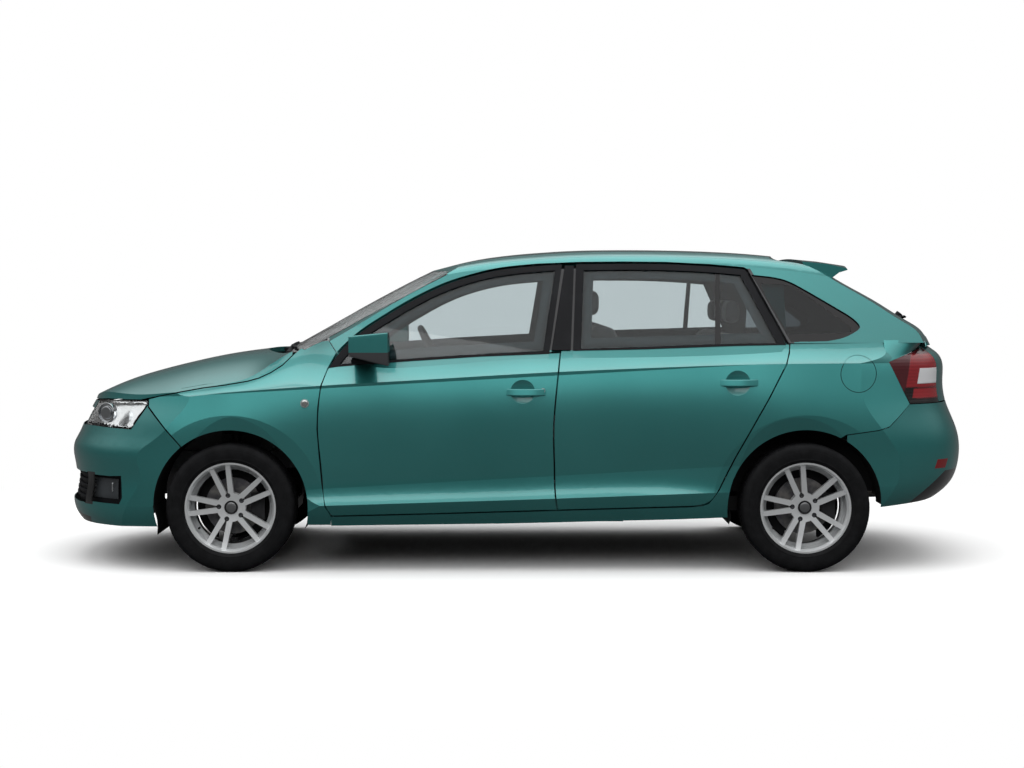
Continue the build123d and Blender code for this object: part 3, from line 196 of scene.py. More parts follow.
class Recipe:
    """The node tree of one material, round a Principled shader."""

    def __init__(self, name: str) -> None:
        """Start an empty material of that name."""
        self.material = bpy.data.materials.new(name)
        self.material.use_nodes = True
        self.tree = self.material.node_tree
        self.tree.nodes.clear()
        self.output = self.node("ShaderNodeOutputMaterial", {}, {})
        self.shader = self.node("ShaderNodeBsdfPrincipled", {}, {})
        self.link(self.shader.outputs[0], self.output.inputs[0])
        self.coordinates = self.node("ShaderNodeTexCoord", {}, {})

    def link(self, source: bpy.types.NodeSocket, target: bpy.types.NodeSocket) -> None:
        """Join two sockets."""
        self.tree.links.new(source, target)

    def node(self, kind: str, settings: dict[str, object],
             sockets: dict[str | int, object]) -> bpy.types.Node:
        """Add a node to this material."""
        return add_node(self.tree, kind, settings, sockets)

    def shade(self, **sockets: object) -> "Recipe":
        """Set inputs of the Principled shader, their spaces written as underscores."""
        for name, value in sockets.items():
            put(self.tree, self.shader.inputs[name.replace("_", " ")], value)
        return self

    def veil(self, share: Maths, top: bpy.types.Node) -> None:
        """Lay a second shader over the first by a share."""
        both = self.node("ShaderNodeMixShader", {}, {0: share, 1: self.shader.outputs[0], 2: top.outputs[0]})
        self.link(both.outputs[0], self.output.inputs[0])

    def axis(self, letter: str, source: str = "Object") -> Maths:
        """One coordinate of the surface point, or of its normal, on the piece itself."""
        split = self.node("ShaderNodeSeparateXYZ", {}, {"Vector": self.coordinates.outputs[source]})
        return Maths(self.tree, split.outputs[letter])

    def noise(self, scale: float, detail: float = 3.0) -> Maths:
        """Smooth noise, scale counted per metre."""
        vector = self.coordinates.outputs["Object"]
        made = self.node("ShaderNodeTexNoise", {}, {"Vector": vector, "Scale": scale, "Detail": detail})
        return Maths(self.tree, made.outputs["Fac"])

    def cells(self, scale: float) -> Maths:
        """Distance to the middle of the nearest cell of a random pattern."""
        vector = self.coordinates.outputs["Object"]
        made = self.node("ShaderNodeTexVoronoi", {}, {"Vector": vector, "Scale": scale})
        return Maths(self.tree, made.outputs["Distance"])

    def inside(self, outline: Sequence[tuple[float, float]]) -> Maths:
        """Depth in metres inside a convex outline seen from the side.

        Args:
            outline: Corners along X and Z in the car's drawing, in millimetres, clockwise from the left.

        Returns:
            Distance to the nearest edge, positive inside.
        """
        x, z = self.axis("X"), self.axis("Z")
        depth = None
        for (x0, z0), (x1, z1) in zip(outline, (*outline[1:], outline[0])):
            length = math.hypot(x1 - x0, z1 - z0)
            start = at(x0, 0, z0)
            edge = (x - start.x) * ((z1 - z0) / length) - (z - start.z) * ((x1 - x0) / length)
            depth = edge if depth is None else depth.least(edge)
        return depth

    def mix(self, share: Maths, first: object, second: object) -> bpy.types.NodeSocket:
        """Blend two colours by a share."""
        return self.node("ShaderNodeMix", {"data_type": "RGBA"}, {0: share, 6: first, 7: second}).outputs[2]

    def bump(self, height: Maths, distance: float, strength: float = 1.0) -> bpy.types.NodeSocket:
        """Relief from a height, distance in metres."""
        values = {"Height": height, "Distance": distance, "Strength": strength}
        return self.node("ShaderNodeBump", {}, values).outputs["Normal"]


# --------------------------------------------------------------------------- finishes


@dataclass(frozen=True)
class CarPaint:
    """Metallic paint under clear coat, with trim-coloured inner faces."""

    name: str
    colour: Colour = (0.013, 0.170, 0.164)
    glint: Colour = (0.060, 0.315, 0.307)
    inner: Colour = (0.030, 0.031, 0.034)
    inward: Point = (0, 0, 0)
    crowned: bool = False
    hand: int = 0
    tilt: float = 0.0
    flare_radius: float = 0.421
    flare_rate: float = 0.17
    crown_depth: float = 0.455
    crown_turn: float = 0.29
    crown_rate: float = 0.478
    metal: float = 0.60

    def material(self) -> bpy.types.Material:
        """Build the material."""
        recipe = Recipe(self.name)
        flakes = recipe.noise(2600, 1.0)
        cloud = recipe.noise(1.6, 2.0)
        tone = recipe.mix((flakes * 0.55 + cloud * 0.30 - 0.10).step(0.0, 0.75), self.colour, self.glint)
        inside = self.hidden(recipe)
        outside = 1 - inside
        tone = self.marks(recipe, recipe.mix(inside, tone, self.inner))
        return recipe.shade(Base_Color=tone, Roughness=(0.30 + flakes * 0.05) * outside + inside * 0.6,
                            Metallic=outside * self.metal, Coat_Weight=outside, Coat_Roughness=0.035,
                            Coat_IOR=1.5, Normal=self.surface(recipe)).material

    def hidden(self, recipe: Recipe) -> Maths:
        """1 on the faces that look into the car."""
        parts = [recipe.axis(letter, "Normal") * share for letter, share in zip("XYZ", self.inward)]
        return (parts[0] + parts[1] + parts[2]).step(0.30, 0.36)

    def marks(self, recipe: Recipe, tone: bpy.types.NodeSocket) -> bpy.types.NodeSocket:
        """Black window frames on a side panel; nothing on the others."""
        if not self.crowned:
            return tone
        x, z = recipe.axis("X"), recipe.axis("Z")
        above = z.step(1.001, 1.005)
        outward = (recipe.axis("Y", "Normal") * self.hand).step(0.40, 0.50)
        upward = recipe.axis("Z", "Normal").step(0.25, 0.40)
        reveal = above * (1 - outward.most(upward))
        pillar = above * x.within(station(150), station(318), 0.001) * (1 - z.step(1.386, 1.390))
        lean = x - (1.370 - z) * 0.5509 - station(1062)
        corner = lean.within(-0.012, 0.026, 0.001) * z.within(1.035, 1.374, 0.001)
        return recipe.mix(reveal.most(pillar).most(corner), tone, self.inner)

    def surface(self, recipe: Recipe) -> bpy.types.NodeSocket:
        """Fine ripple, and on a side panel the slight barrel shape between crease and scoop."""
        ripple = recipe.noise(420, 1.0) * 0.00002
        if not self.crowned:
            return recipe.bump(ripple - recipe.axis("Z") * self.tilt, 1.0)
        crease = (recipe.axis("X") * 0.055 + 0.8826).least(0.945)
        below = (crease - recipe.axis("Z")).most(0.0).least(self.crown_depth)
        ends = (1 - recipe.axis("X").step(-1.55, -0.75)).most(recipe.axis("X").step(0.95, 1.75))
        rest = ends * 0.14 + self.crown_turn - below
        near = None
        for axle in (FRONT_AXLE_X, REAR_AXLE_X):
            across, up = recipe.axis("X") - station(axle), recipe.axis("Z") - WHEEL_Z / 1000
            reach = (across * across + up * up).power(0.5)
            near = reach if near is None else near.least(reach)
        flare = (self.flare_radius - near).most(0.0).least(0.07)
        return recipe.bump(ripple - rest * rest * self.crown_rate - flare * self.flare_rate, 1.0)


@dataclass(frozen=True)
class RearBumperPaint(CarPaint):
    """Rear bumper paint with the black lower part and the red reflectors.

    The line holds its start along the car, its height there, its slope and its greatest height. The
    reflector holds its ends along the car, then its foot and its top.
    """

    line: tuple[float, float, float, float] = (1820, 305, 0.81, 445)
    reflector: tuple[float, float, float, float] = (1932, 1992, 458, 500)
    reflector_lean: float = 0.35
    reflector_red: Colour = (0.36, 0.010, 0.014)
    lower_black: Colour = (0.014, 0.015, 0.017)

    def marks(self, recipe: Recipe, tone: bpy.types.NodeSocket) -> bpy.types.NodeSocket:
        """Black below the slanting line, a red reflector at each corner."""
        x, z = recipe.axis("X"), recipe.axis("Z")
        start, level, slope, cap = self.line
        edge = ((x - station(start)) * slope + level / 1000).least(cap / 1000)
        tone = recipe.mix((edge - z).step(-0.001, 0.001), tone, self.lower_black)
        left, right, low, high = self.reflector
        slant = x - (z - low / 1000) * self.reflector_lean
        patch = slant.within(station(left), station(right), 0.002) * z.within(low / 1000, high / 1000, 0.0015)
        corner = abs(recipe.axis("Y")).step(0.50, 0.52)
        return recipe.mix(patch * corner, tone, self.reflector_red)


@dataclass(frozen=True)
class FrontBumperPaint(CarPaint):
    """Front bumper paint with the black frame between intake and fog-lamp opening."""

    frame_black: Colour = (0.012, 0.013, 0.014)

    def marks(self, recipe: Recipe, tone: bpy.types.NodeSocket) -> bpy.types.NodeSocket:
        """Black round the lower openings, and under the nose's lip."""
        x, y, z = recipe.axis("X"), abs(recipe.axis("Y")), recipe.axis("Z")
        frame_part = z.within(0.286, 0.436, 0.001) * y.within(0.552, 0.612, 0.001)
        under = (1 - (z - (x + 2.10) * -0.10).step(0.236, 0.240)) * (1 - x.step(-1.98, -1.97))
        return recipe.mix(frame_part.most(under), tone, self.frame_black)


@dataclass(frozen=True)
class MirrorPaint(CarPaint):
    """Painted shell over a black lower part."""

    split: float = 0.999

    def hidden(self, recipe: Recipe) -> Maths:
        """1 on the black lower part and on the back round the glass."""
        low = 1 - recipe.axis("Z").step(self.split - 0.001, self.split + 0.001)
        return low.most(recipe.axis("X", "Normal").step(0.75, 0.80))


@dataclass(frozen=True)
class Plastic:
    """Moulded plastic with a fine grain."""

    name: str
    colour: Colour = (0.013, 0.0135, 0.015)
    roughness: float = 0.5
    grain: float = 1400.0
    depth: float = 0.00008
    shine: float = 0.32

    def material(self) -> bpy.types.Material:
        """Build the material."""
        recipe = Recipe(self.name)
        grain = recipe.cells(self.grain)
        wear = recipe.noise(9, 3.0)
        tone = recipe.mix(wear.step(0.35, 0.75), self.colour, tuple(c * 1.35 + 0.002 for c in self.colour))
        return recipe.shade(Base_Color=tone, Roughness=self.roughness - 0.06 + wear * 0.12,
                            Specular_IOR_Level=self.shine,
                            Normal=recipe.bump(grain, self.depth, 0.6)).material


@dataclass(frozen=True)
class Metal:
    """Bare, plated or lacquered metal."""

    name: str
    colour: Colour
    roughness: float
    metallic: float = 1.0
    coat: float = 0.0
    grain: float = 700.0

    def material(self) -> bpy.types.Material:
        """Build the material."""
        recipe = Recipe(self.name)
        fine = recipe.noise(self.grain, 2.0)
        broad = recipe.noise(14, 3.0)
        tone = recipe.mix(broad.step(0.3, 0.8), self.colour, tuple(c * 0.82 for c in self.colour))
        return recipe.shade(Base_Color=tone, Metallic=self.metallic,
                            Roughness=self.roughness + fine * 0.08 - 0.03,
                            Coat_Weight=self.coat, Coat_Roughness=0.06,
                            Normal=recipe.bump(fine, 0.00004, 0.4)).material


@dataclass(frozen=True)
class WheelMetal:
    """Silver lacquer outside, dull barrel and turned brake disc behind."""

    name: str
    disc_face: float
    silver: tuple[Colour, Colour] = ((0.66, 0.68, 0.69), (0.88, 0.90, 0.91))
    dull: tuple[Colour, Colour] = ((0.10, 0.10, 0.11), (0.22, 0.21, 0.20))

    def material(self) -> bpy.types.Material:
        """Build the material."""
        recipe = Recipe(self.name)
        depth = abs(recipe.axis("Y"))
        behind = 1 - depth.step(self.disc_face - 0.001, self.disc_face + 0.006)
        flakes = recipe.noise(1800, 1.0)
        grime = recipe.noise(22, 4.0)
        silver = recipe.mix(flakes, *self.silver)
        dull = recipe.mix(grime.step(0.3, 0.7), *self.dull)
        return recipe.shade(Base_Color=recipe.mix(behind, silver, dull), Metallic=0.50 + behind * 0.3,
                            Roughness=0.27 + behind * 0.20 + grime * 0.05, Coat_Weight=0.6 - behind * 0.6,
                            Coat_Roughness=0.08).material


@dataclass(frozen=True)
class Rubber:
    """Tyre rubber, a little dusty."""

    name: str
    colour: Colour = (0.0042, 0.0044, 0.0052)
    dusty: Colour = (0.0085, 0.0088, 0.0100)

    def material(self) -> bpy.types.Material:
        """Build the material."""
        recipe = Recipe(self.name)
        dust = recipe.noise(26, 5.0)
        fine = recipe.noise(900, 2.0)
        tone = recipe.mix(dust.step(0.35, 0.75), self.colour, self.dusty)
        return recipe.shade(Base_Color=tone, Roughness=0.62 + fine * 0.16, Specular_IOR_Level=0.16,
                            Normal=recipe.bump(fine, 0.00012, 0.5)).material


@dataclass(frozen=True)
class Pane:
    """Clear or lightly tinted sheet glass."""

    name: str
    tint: Colour = (0.672, 0.730, 0.741)
    print_black: Colour = (0.006, 0.006, 0.007)
    border: float = 0.0
    outline: tuple[tuple[float, float], ...] = ()
    strip: tuple[tuple[float, float], ...] = ()

    def material(self) -> bpy.types.Material:
        """Build the material."""
        recipe = Recipe(self.name)
        wave = recipe.noise(5, 1.0)
        recipe.shade(Base_Color=self.tint, Roughness=0.0, IOR=1.45, Transmission_Weight=1.0,
                     Normal=recipe.bump(wave, 0.0004, 0.05))
        dark = self.printed(recipe)
        if dark is not None:
            recipe.veil(dark, recipe.node("ShaderNodeBsdfPrincipled", {}, {
                "Base Color": self.print_black, "Roughness": recipe.noise(300) * 0.05 + 0.06}))
        return recipe.material

    def printed(self, recipe: Recipe) -> Maths | None:
        """1 on the black print: a border inside the outline, and a strip between two more lines."""
        dark = None
        if self.outline:
            dark = 1 - recipe.inside(self.outline).step(self.border - 0.001, self.border + 0.001)
        if self.strip:
            band = recipe.inside(self.strip).step(-0.001, 0.001)
            dark = band if dark is None else dark.most(band)
        return dark


@dataclass(frozen=True)
class TailLens:
    """Red lens with its brighter rings, a clear block and a black foot."""

    name: str = "tail_lens"
    red: Colour = (0.085, 0.010, 0.014)
    lit: Colour = (0.34, 0.020, 0.026)
    clear: Colour = (0.86, 0.87, 0.89)
    black: Colour = (0.010, 0.008, 0.009)

    def material(self) -> bpy.types.Material:
        """Build the material."""
        recipe = Recipe(self.name)
        x, z = recipe.axis("X") + LENGTH_MIDDLE / 1000, recipe.axis("Z")
        lean = x - (z - 0.90) * 0.18
        ribs = (z * 420).wave() * 0.5 + 0.5
        ring = lean.within(1.800, 1.99, 0.004) * z.within(0.830, 0.985, 0.004)
        lower = lean.within(1.842, 1.99, 0.003) * z.within(0.784, 0.826, 0.003)
        block = lean.within(1.856, 1.99, 0.002) * z.within(0.848, 0.918, 0.002)
        corner = lean.within(1.795, 1.86, 0.006) * z.within(0.75, 0.832, 0.004)
        foot = corner.most(z.within(0.75, 0.778, 0.002))
        tone = recipe.mix(ring * (ribs * 0.25 + 0.75), self.red, self.lit)
        tone = recipe.mix(foot, tone, self.black)
        tone = recipe.mix(lower, tone, self.lit)
        tone = recipe.mix(block, tone, self.clear)
        shape = ribs * 0.0004 + ring * 0.003 + block * 0.002
        return recipe.shade(Base_Color=tone, Roughness=0.22 - block * 0.08, Coat_Weight=1.0,
                            Coat_Roughness=0.02, Normal=recipe.bump(shape, 1.0, 0.7)).material


@dataclass(frozen=True)
class Mirror:
    """Silvered glass or bright reflector."""

    name: str
    colour: Colour = (0.86, 0.87, 0.88)
    roughness: float = 0.04
    flute: float = 0.0

    def material(self) -> bpy.types.Material:
        """Build the material."""
        recipe = Recipe(self.name)
        haze = recipe.noise(60, 2.0)
        height = recipe.noise(30, 1.0) * 0.0002
        if self.flute:
            height = height + (recipe.axis("X") * self.flute).wave() * 0.00015
        return recipe.shade(Base_Color=self.colour, Metallic=1.0, Roughness=self.roughness + haze * 0.03,
                            Normal=recipe.bump(height, 1.0, 0.6)).material


@dataclass(frozen=True)
class Cloth:
    """Woven seat fabric."""

    name: str
    colour: Colour = (0.055, 0.056, 0.060)
    thread: Colour = (0.115, 0.117, 0.122)

    def material(self) -> bpy.types.Material:
        """Build the material."""
        recipe = Recipe(self.name)
        vector = recipe.coordinates.outputs["Object"]
        warp = recipe.node("ShaderNodeTexWave", {"wave_type": "BANDS", "bands_direction": "DIAGONAL"},
                           {"Vector": vector, "Scale": 220.0, "Distortion": 1.2})
        weave = Maths(recipe.tree, warp.outputs["Fac"])
        lint = recipe.noise(160, 4.0)
        tone = recipe.mix((weave * 0.6 + lint * 0.5).step(0.3, 0.9), self.colour, self.thread)
        return recipe.shade(Base_Color=tone, Roughness=0.92, Sheen_Weight=0.3, Sheen_Roughness=0.5,
                            Normal=recipe.bump(weave * 0.7 + lint * 0.3, 0.0005, 0.7)).material


def dress(piece: bpy.types.Object, material: bpy.types.Material) -> None:
    """Give every slot of a piece one material."""
    if piece.data.materials:
        for index in range(len(piece.data.materials)):
            piece.data.materials[index] = material
    else:
        piece.data.materials.append(material)


# --------------------------------------------------------------------------- workshop


class Workshop:
    """Modelling steps shared by the sub-assemblies, all done with Blender's operators."""

    def __init__(self) -> None:
        """Start with no surface measured."""
        self.trees: dict[str, BVHTree] = {}

    def clear(self) -> None:
        """Deselect everything."""
        if bpy.context.object and bpy.context.object.mode != "OBJECT":
            bpy.ops.object.mode_set(mode="OBJECT")
        bpy.ops.object.select_all(action="DESELECT")

    def take(self, piece: bpy.types.Object) -> bpy.types.Object:
        """Make a piece the only selected and active one."""
        self.clear()
        piece.select_set(True)
        bpy.context.view_layer.objects.active = piece
        return piece

    def named(self, name: str) -> bpy.types.Object:
        """Name the newly added object."""
        piece = bpy.context.object
        piece.name = name
        piece.data.name = name
        return piece

    def drum(self, name: str, radius: float, depth: float, centre: Vector, axis: Vector,
             sides: int = 48) -> bpy.types.Object:
        """Add a cylinder.

        Args:
            name: Piece name.
            radius: Radius in millimetres.
            depth: Length in millimetres.
            centre: Middle, in metres.
            axis: Direction of its length.
            sides: Number of side faces.

        Returns:
            The cylinder.
        """
        self.clear()
        bpy.ops.mesh.primitive_cylinder_add(vertices=sides, radius=radius / 1000, depth=depth / 1000,
                                            location=centre, rotation=axis.to_track_quat("Z", "Y").to_euler())
        return self.settle(self.named(name))

    def slab(self, name: str, low: Vector, high: Vector) -> bpy.types.Object:
        """Add a box between two corners."""
        self.clear()
        bpy.ops.mesh.primitive_cube_add(size=1, location=(low + high) / 2, scale=high - low)
        return self.settle(self.named(name))

    def block(self, name: str, side: Side, x: Span, y: Span, z: Span) -> bpy.types.Object:
        """Add a box on one side of the car.

        Args:
            name: Piece name.
            side: Side of the car.
            x: Its ends along the car, in the drawing's millimetres.
            y: Its distances from the car's middle plane.
            z: Its heights.

        Returns:
            The box.
        """
        near, far = sorted(side.value * reach for reach in y)
        return self.slab(name, at(x[0], near, z[0]), at(x[1], far, z[1]))

    def settle(self, piece: bpy.types.Object) -> bpy.types.Object:
        """Move a piece's place into its mesh."""
        self.take(piece)
        bpy.ops.object.transform_apply(location=True, rotation=True, scale=True)
        return piece

    def pick(self, piece: bpy.types.Object, test: Callable[[bmesh.types.BMFace], bool]) -> None:
        """Enter edit mode with only the faces that pass a test selected."""
        self.take(piece)
        bpy.ops.object.mode_set(mode="EDIT")
        bpy.ops.mesh.select_mode(type="FACE")
        bpy.ops.mesh.select_all(action="DESELECT")
        mesh = bmesh.from_edit_mesh(piece.data)
        for face in mesh.faces:
            face.select_set(bool(test(face)))
        bmesh.update_edit_mesh(piece.data)

    def leave(self) -> None:
        """Back to object mode."""
        bpy.ops.object.mode_set(mode="OBJECT")

    def modify(self, piece: bpy.types.Object, kind: str, **settings: object) -> bpy.types.Object:
        """Add a modifier and apply it."""
        self.take(piece)
        modifier = piece.modifiers.new(kind.title(), kind)
        for name, value in settings.items():
            setattr(modifier, name, value)
        bpy.ops.object.modifier_apply(modifier=modifier.name)
        return piece

    def bevel(self, piece: bpy.types.Object, width: float, steps: int,
              angle: float = 50.0) -> bpy.types.Object:
        """Round the edges that are sharper than an angle in degrees, by a width in millimetres."""
        return self.modify(piece, "BEVEL", width=width / 1000, segments=steps, limit_method="ANGLE",
                           angle_limit=math.radians(angle))

    def smooth(self, piece: bpy.types.Object, angle: float) -> bpy.types.Object:
        """Smooth the shading across edges that are flatter than an angle in degrees."""
        self.take(piece)
        bpy.ops.object.shade_smooth_by_angle(angle=math.radians(angle))
        return piece

    def soften(self, piece: bpy.types.Object, width: float, steps: int = 2) -> bpy.types.Object:
        """Round the sharp edges and smooth the shading."""
        return self.smooth(self.bevel(piece, width, steps, 35.0), 38.0)

    def subdivided(self, piece: bpy.types.Object, levels: int) -> bpy.types.Object:
        """Subdivide a piece and smooth it all over."""
        self.modify(piece, "SUBSURF", levels=levels, render_levels=levels)
        self.take(piece)
        bpy.ops.object.shade_smooth()
        return piece

    def shell(self, piece: bpy.types.Object, wall: float) -> bpy.types.Object:
        """Give a skin a wall in millimetres, inwards."""
        return self.modify(piece, "SOLIDIFY", thickness=wall / 1000, offset=-1)

    def pick_end(self, piece: bpy.types.Object, axis: Vector) -> None:
        """Enter edit mode with the faces that look along an axis selected."""
        self.pick(piece, lambda face: face.normal.dot(axis) > 0.9)

    def rim(self, width: float, move: Vector) -> None:
        """Inset the selected faces by a width in millimetres, then extrude them by a move in metres."""
        bpy.ops.mesh.inset(thickness=width / 1000)
        bpy.ops.mesh.extrude_region_move(TRANSFORM_OT_translate={"value": move})

    def dome(self, width: float, move: Vector) -> None:
        """Inset the selected faces by a width in millimetres, then shift them by a move in metres."""
        bpy.ops.mesh.inset(thickness=width / 1000)
        bpy.ops.transform.translate(value=move)

    def outward(self, piece: bpy.types.Object) -> bpy.types.Object:
        """Merge doubles and turn the faces outwards."""
        self.pick(piece, lambda face: True)
        bpy.ops.mesh.remove_doubles(threshold=DOUBLES)
        bpy.ops.mesh.normals_make_consistent(inside=False)
        self.leave()
        return piece

    def twin(self, piece: bpy.types.Object, name: str, change: Matrix) -> bpy.types.Object:
        """A copy with its own mesh, moved by a matrix."""
        copy = bpy.data.objects.new(name, piece.data.copy())
        copy.data.name = name
        bpy.context.scene.collection.objects.link(copy)
        copy.data.transform(change)
        if change.determinant() < 0:
            copy.data.flip_normals()
        return copy

    def joined(self, name: str, pieces: Sequence[bpy.types.Object]) -> bpy.types.Object:
        """Join pieces into one."""
        self.clear()
        for piece in pieces:
            piece.select_set(True)
        bpy.context.view_layer.objects.active = pieces[0]
        bpy.ops.object.join()
        return self.named(name)

    def skin_of(self, node: str, name: str, test: Callable[[bmesh.types.BMFace], bool]) -> bpy.types.Object:
        """A merged copy of the faces of a CAD node that pass a test."""
        copy = self.twin(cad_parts[node], name, Matrix.Identity(4))
        self.pick(copy, lambda face: not test(face))
        bpy.ops.mesh.delete(type="FACE")
        bpy.ops.mesh.select_all(action="SELECT")
        bpy.ops.mesh.remove_doubles(threshold=DOUBLES)
        self.leave()
        return copy

    def reach(self, nodes: Sequence[str], x: float, z: float, hand: int) -> float | None:
        """How far out a side of the car lies.

        Args:
            nodes: CAD nodes to look at.
            x: Place along the car, in the drawing's millimetres.
            z: Height, in millimetres.
            hand: -1 for the left side, 1 for the right.

        Returns:
            The outermost |y| in millimetres, or None where there is nothing.
        """
        found = []
        for node in nodes:
            if node not in self.trees:
                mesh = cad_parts[node].data
                self.trees[node] = BVHTree.FromPolygons([vert.co for vert in mesh.vertices],
                                                        [tuple(face.vertices) for face in mesh.polygons])
            start = at(x, hand * 1500, z)
            hit = self.trees[node].ray_cast(start, Vector((0, -hand, 0)), 1.4)[0]
            if hit is not None:
                found.append(abs(hit.y) * 1000)
        return max(found) if found else None

    def curved_panel(self, name: str, columns: int, rows: int,
                     place: Callable[[float, float], Vector]) -> bpy.types.Object:
        """A curved panel.

        Args:
            name: Piece name.
            columns: Faces along it.
            rows: Faces across it.
            place: Gives the point for two shares from 0 to 1.

        Returns:
            The panel, one face thick.
        """
        self.clear()
        bpy.ops.mesh.primitive_grid_add(x_subdivisions=columns, y_subdivisions=rows, size=1)
        piece = self.named(name)
        for vert in piece.data.vertices:
            vert.co = place(vert.co.x + 0.5, vert.co.y + 0.5)
        return piece


SHOP = Workshop()
MIRROR = Matrix.Scale(-1, 4, Vector((0, 1, 0)))


def fit(piece: bpy.types.Object, body: str, material: bpy.types.Material) -> bpy.types.Object:
    """Finish a piece and mount it.

    Args:
        piece: The modelled piece.
        body: The CAD body it moves with.
        material: Its finish.

    Returns:
        The same piece.
    """
    dress(piece, material)
    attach(piece, body)
    LOG.info("%s rides on %s", piece.name, body)
    return piece


# --------------------------------------------------------------------------- the studio


@dataclass(frozen=True)
class Viewpoint:
    """Where the camera stands, in the car's drawing, and its lens."""

    stand: Point = (-62.0, -9320.0, 1276.0)
    target: Point = (-8.0, -820.0, 853.0)
    focal: float = 66.4

    def place(self) -> bpy.types.Object:
        """Add the camera and make it the scene's."""
        data = bpy.data.cameras.new("camera")
        data.lens = self.focal
        data.sensor_width = 36.0
        data.clip_end = 200.0
        camera = bpy.data.objects.new("camera", data)
        bpy.context.scene.collection.objects.link(camera)
        camera.location = at(*self.stand)
        camera.rotation_euler = (at(*self.target) - camera.location).to_track_quat("-Z", "Y").to_euler()
        bpy.context.scene.camera = camera
        return camera


@dataclass(frozen=True)
class Softbox:
    """One area lamp."""

    name: str
    place: Point
    aim: Point
    size: tuple[float, float]
    power: float

    def hang(self) -> None:
        """Add the lamp."""
        data = bpy.data.lights.new(self.name, "AREA")
        data.shape = "RECTANGLE"
        data.size, data.size_y = self.size
        data.energy = self.power
        lamp = bpy.data.objects.new(self.name, data)
        bpy.context.scene.collection.objects.link(lamp)
        lamp.location = Vector(self.place)
        lamp.rotation_euler = (Vector(self.aim) - lamp.location).to_track_quat("-Z", "Y").to_euler()


@dataclass
class Studio:
    """White floor, white surround and soft light from above."""

    floor_size: float = 120.0
    floor_level: float = -0.0004
    floor_white: Colour = (0.99, 0.99, 0.99)
    sky: float = 1.10
    ground: float = 0.07
    rise: tuple[float, float] = (0.02, 0.62)
    far_drop: float = 0.26
    gloss_share: float = 0.03
    bounce: float = 0.09
    shade_reach: tuple[float, float] = (3.1, 2.6)
    boxes: tuple[Softbox, ...] = field(default_factory=lambda: (
        Softbox("overhead", (0.0, -1.2, 6.5), (0.0, 0.0, 0.0), (9.0, 6.0), 230.0),
        Softbox("near_fill", (-1.0, -8.5, 4.6), (0.0, 0.0, 0.7), (10.0, 3.0), 125.0),
        Softbox("far_fill", (0.0, 4.2, 8.0), (0.0, 0.0, 0.7), (9.0, 2.0), 45.0)))

    def build(self) -> None:
        """Set up the floor, the world, the lamps and the view transform."""
        self.floor()
        self.world()
        for box in self.boxes:
            box.hang()
        bpy.context.scene.view_settings.view_transform = "Standard"

    def sight(self, tree: bpy.types.NodeTree) -> tuple[Maths, Maths]:
        """1 where a ray shows the background directly or through glass; the same with a share of gloss."""
        path = add_node(tree, "ShaderNodeLightPath", {}, {})
        kinds = ("Camera", "Transmission", "Glossy")
        direct, through, gloss = (Maths(tree, path.outputs[f"Is {kind} Ray"]) for kind in kinds)
        seen = direct.most(through)
        return seen, seen.most(gloss * self.gloss_share)

    def floor(self) -> None:
        """Lay the floor, white to the eye and greyer to the light it throws back."""
        SHOP.clear()
        bpy.ops.mesh.primitive_plane_add(size=self.floor_size, location=(0, 0, self.floor_level))
        plane = SHOP.named("studio_floor")
        recipe = Recipe("studio_floor")
        seen, shown = self.sight(recipe.tree)
        tone = recipe.mix(shown, (self.bounce,) * 3, self.floor_white)
        recipe.shade(Base_Color=tone, Roughness=0.9, Specular_IOR_Level=0.0)
        across, along = recipe.axis("X") / self.shade_reach[0], recipe.axis("Y") / self.shade_reach[1]
        far = (across * across + along * along).power(0.5).step(0.95, 1.5) * seen
        recipe.veil(far, recipe.node("ShaderNodeEmission", {}, {"Color": (1.0, 1.0, 1.0), "Strength": 1.0}))
        dress(plane, recipe.material)

    def world(self) -> None:
        """White surround to the eye; for the light, a bright sky over a grey horizon."""
        world = bpy.data.worlds.new("studio")
        world.use_nodes = True
        tree = world.node_tree
        tree.nodes.clear()
        shown = self.sight(tree)[1]
        place = add_node(tree, "ShaderNodeTexCoord", {}, {})
        split = add_node(tree, "ShaderNodeSeparateXYZ", {}, {0: place.outputs["Generated"]})
        height = Maths(tree, split.outputs["Z"]) - Maths(tree, split.outputs["Y"]).most(0.0) * self.far_drop
        light = self.ground + height.step(*self.rise) * (self.sky - self.ground)
        strength = light * (1 - shown) + shown
        back = add_node(tree, "ShaderNodeBackground", {}, {"Color": (1.0, 1.0, 1.0), "Strength": strength})
        add_node(tree, "ShaderNodeOutputWorld", {}, {0: back.outputs[0]})
        bpy.context.scene.world = world


# --------------------------------------------------------------------------- the model's own nodes

HEADLINING = (0.46, 0.46, 0.44)


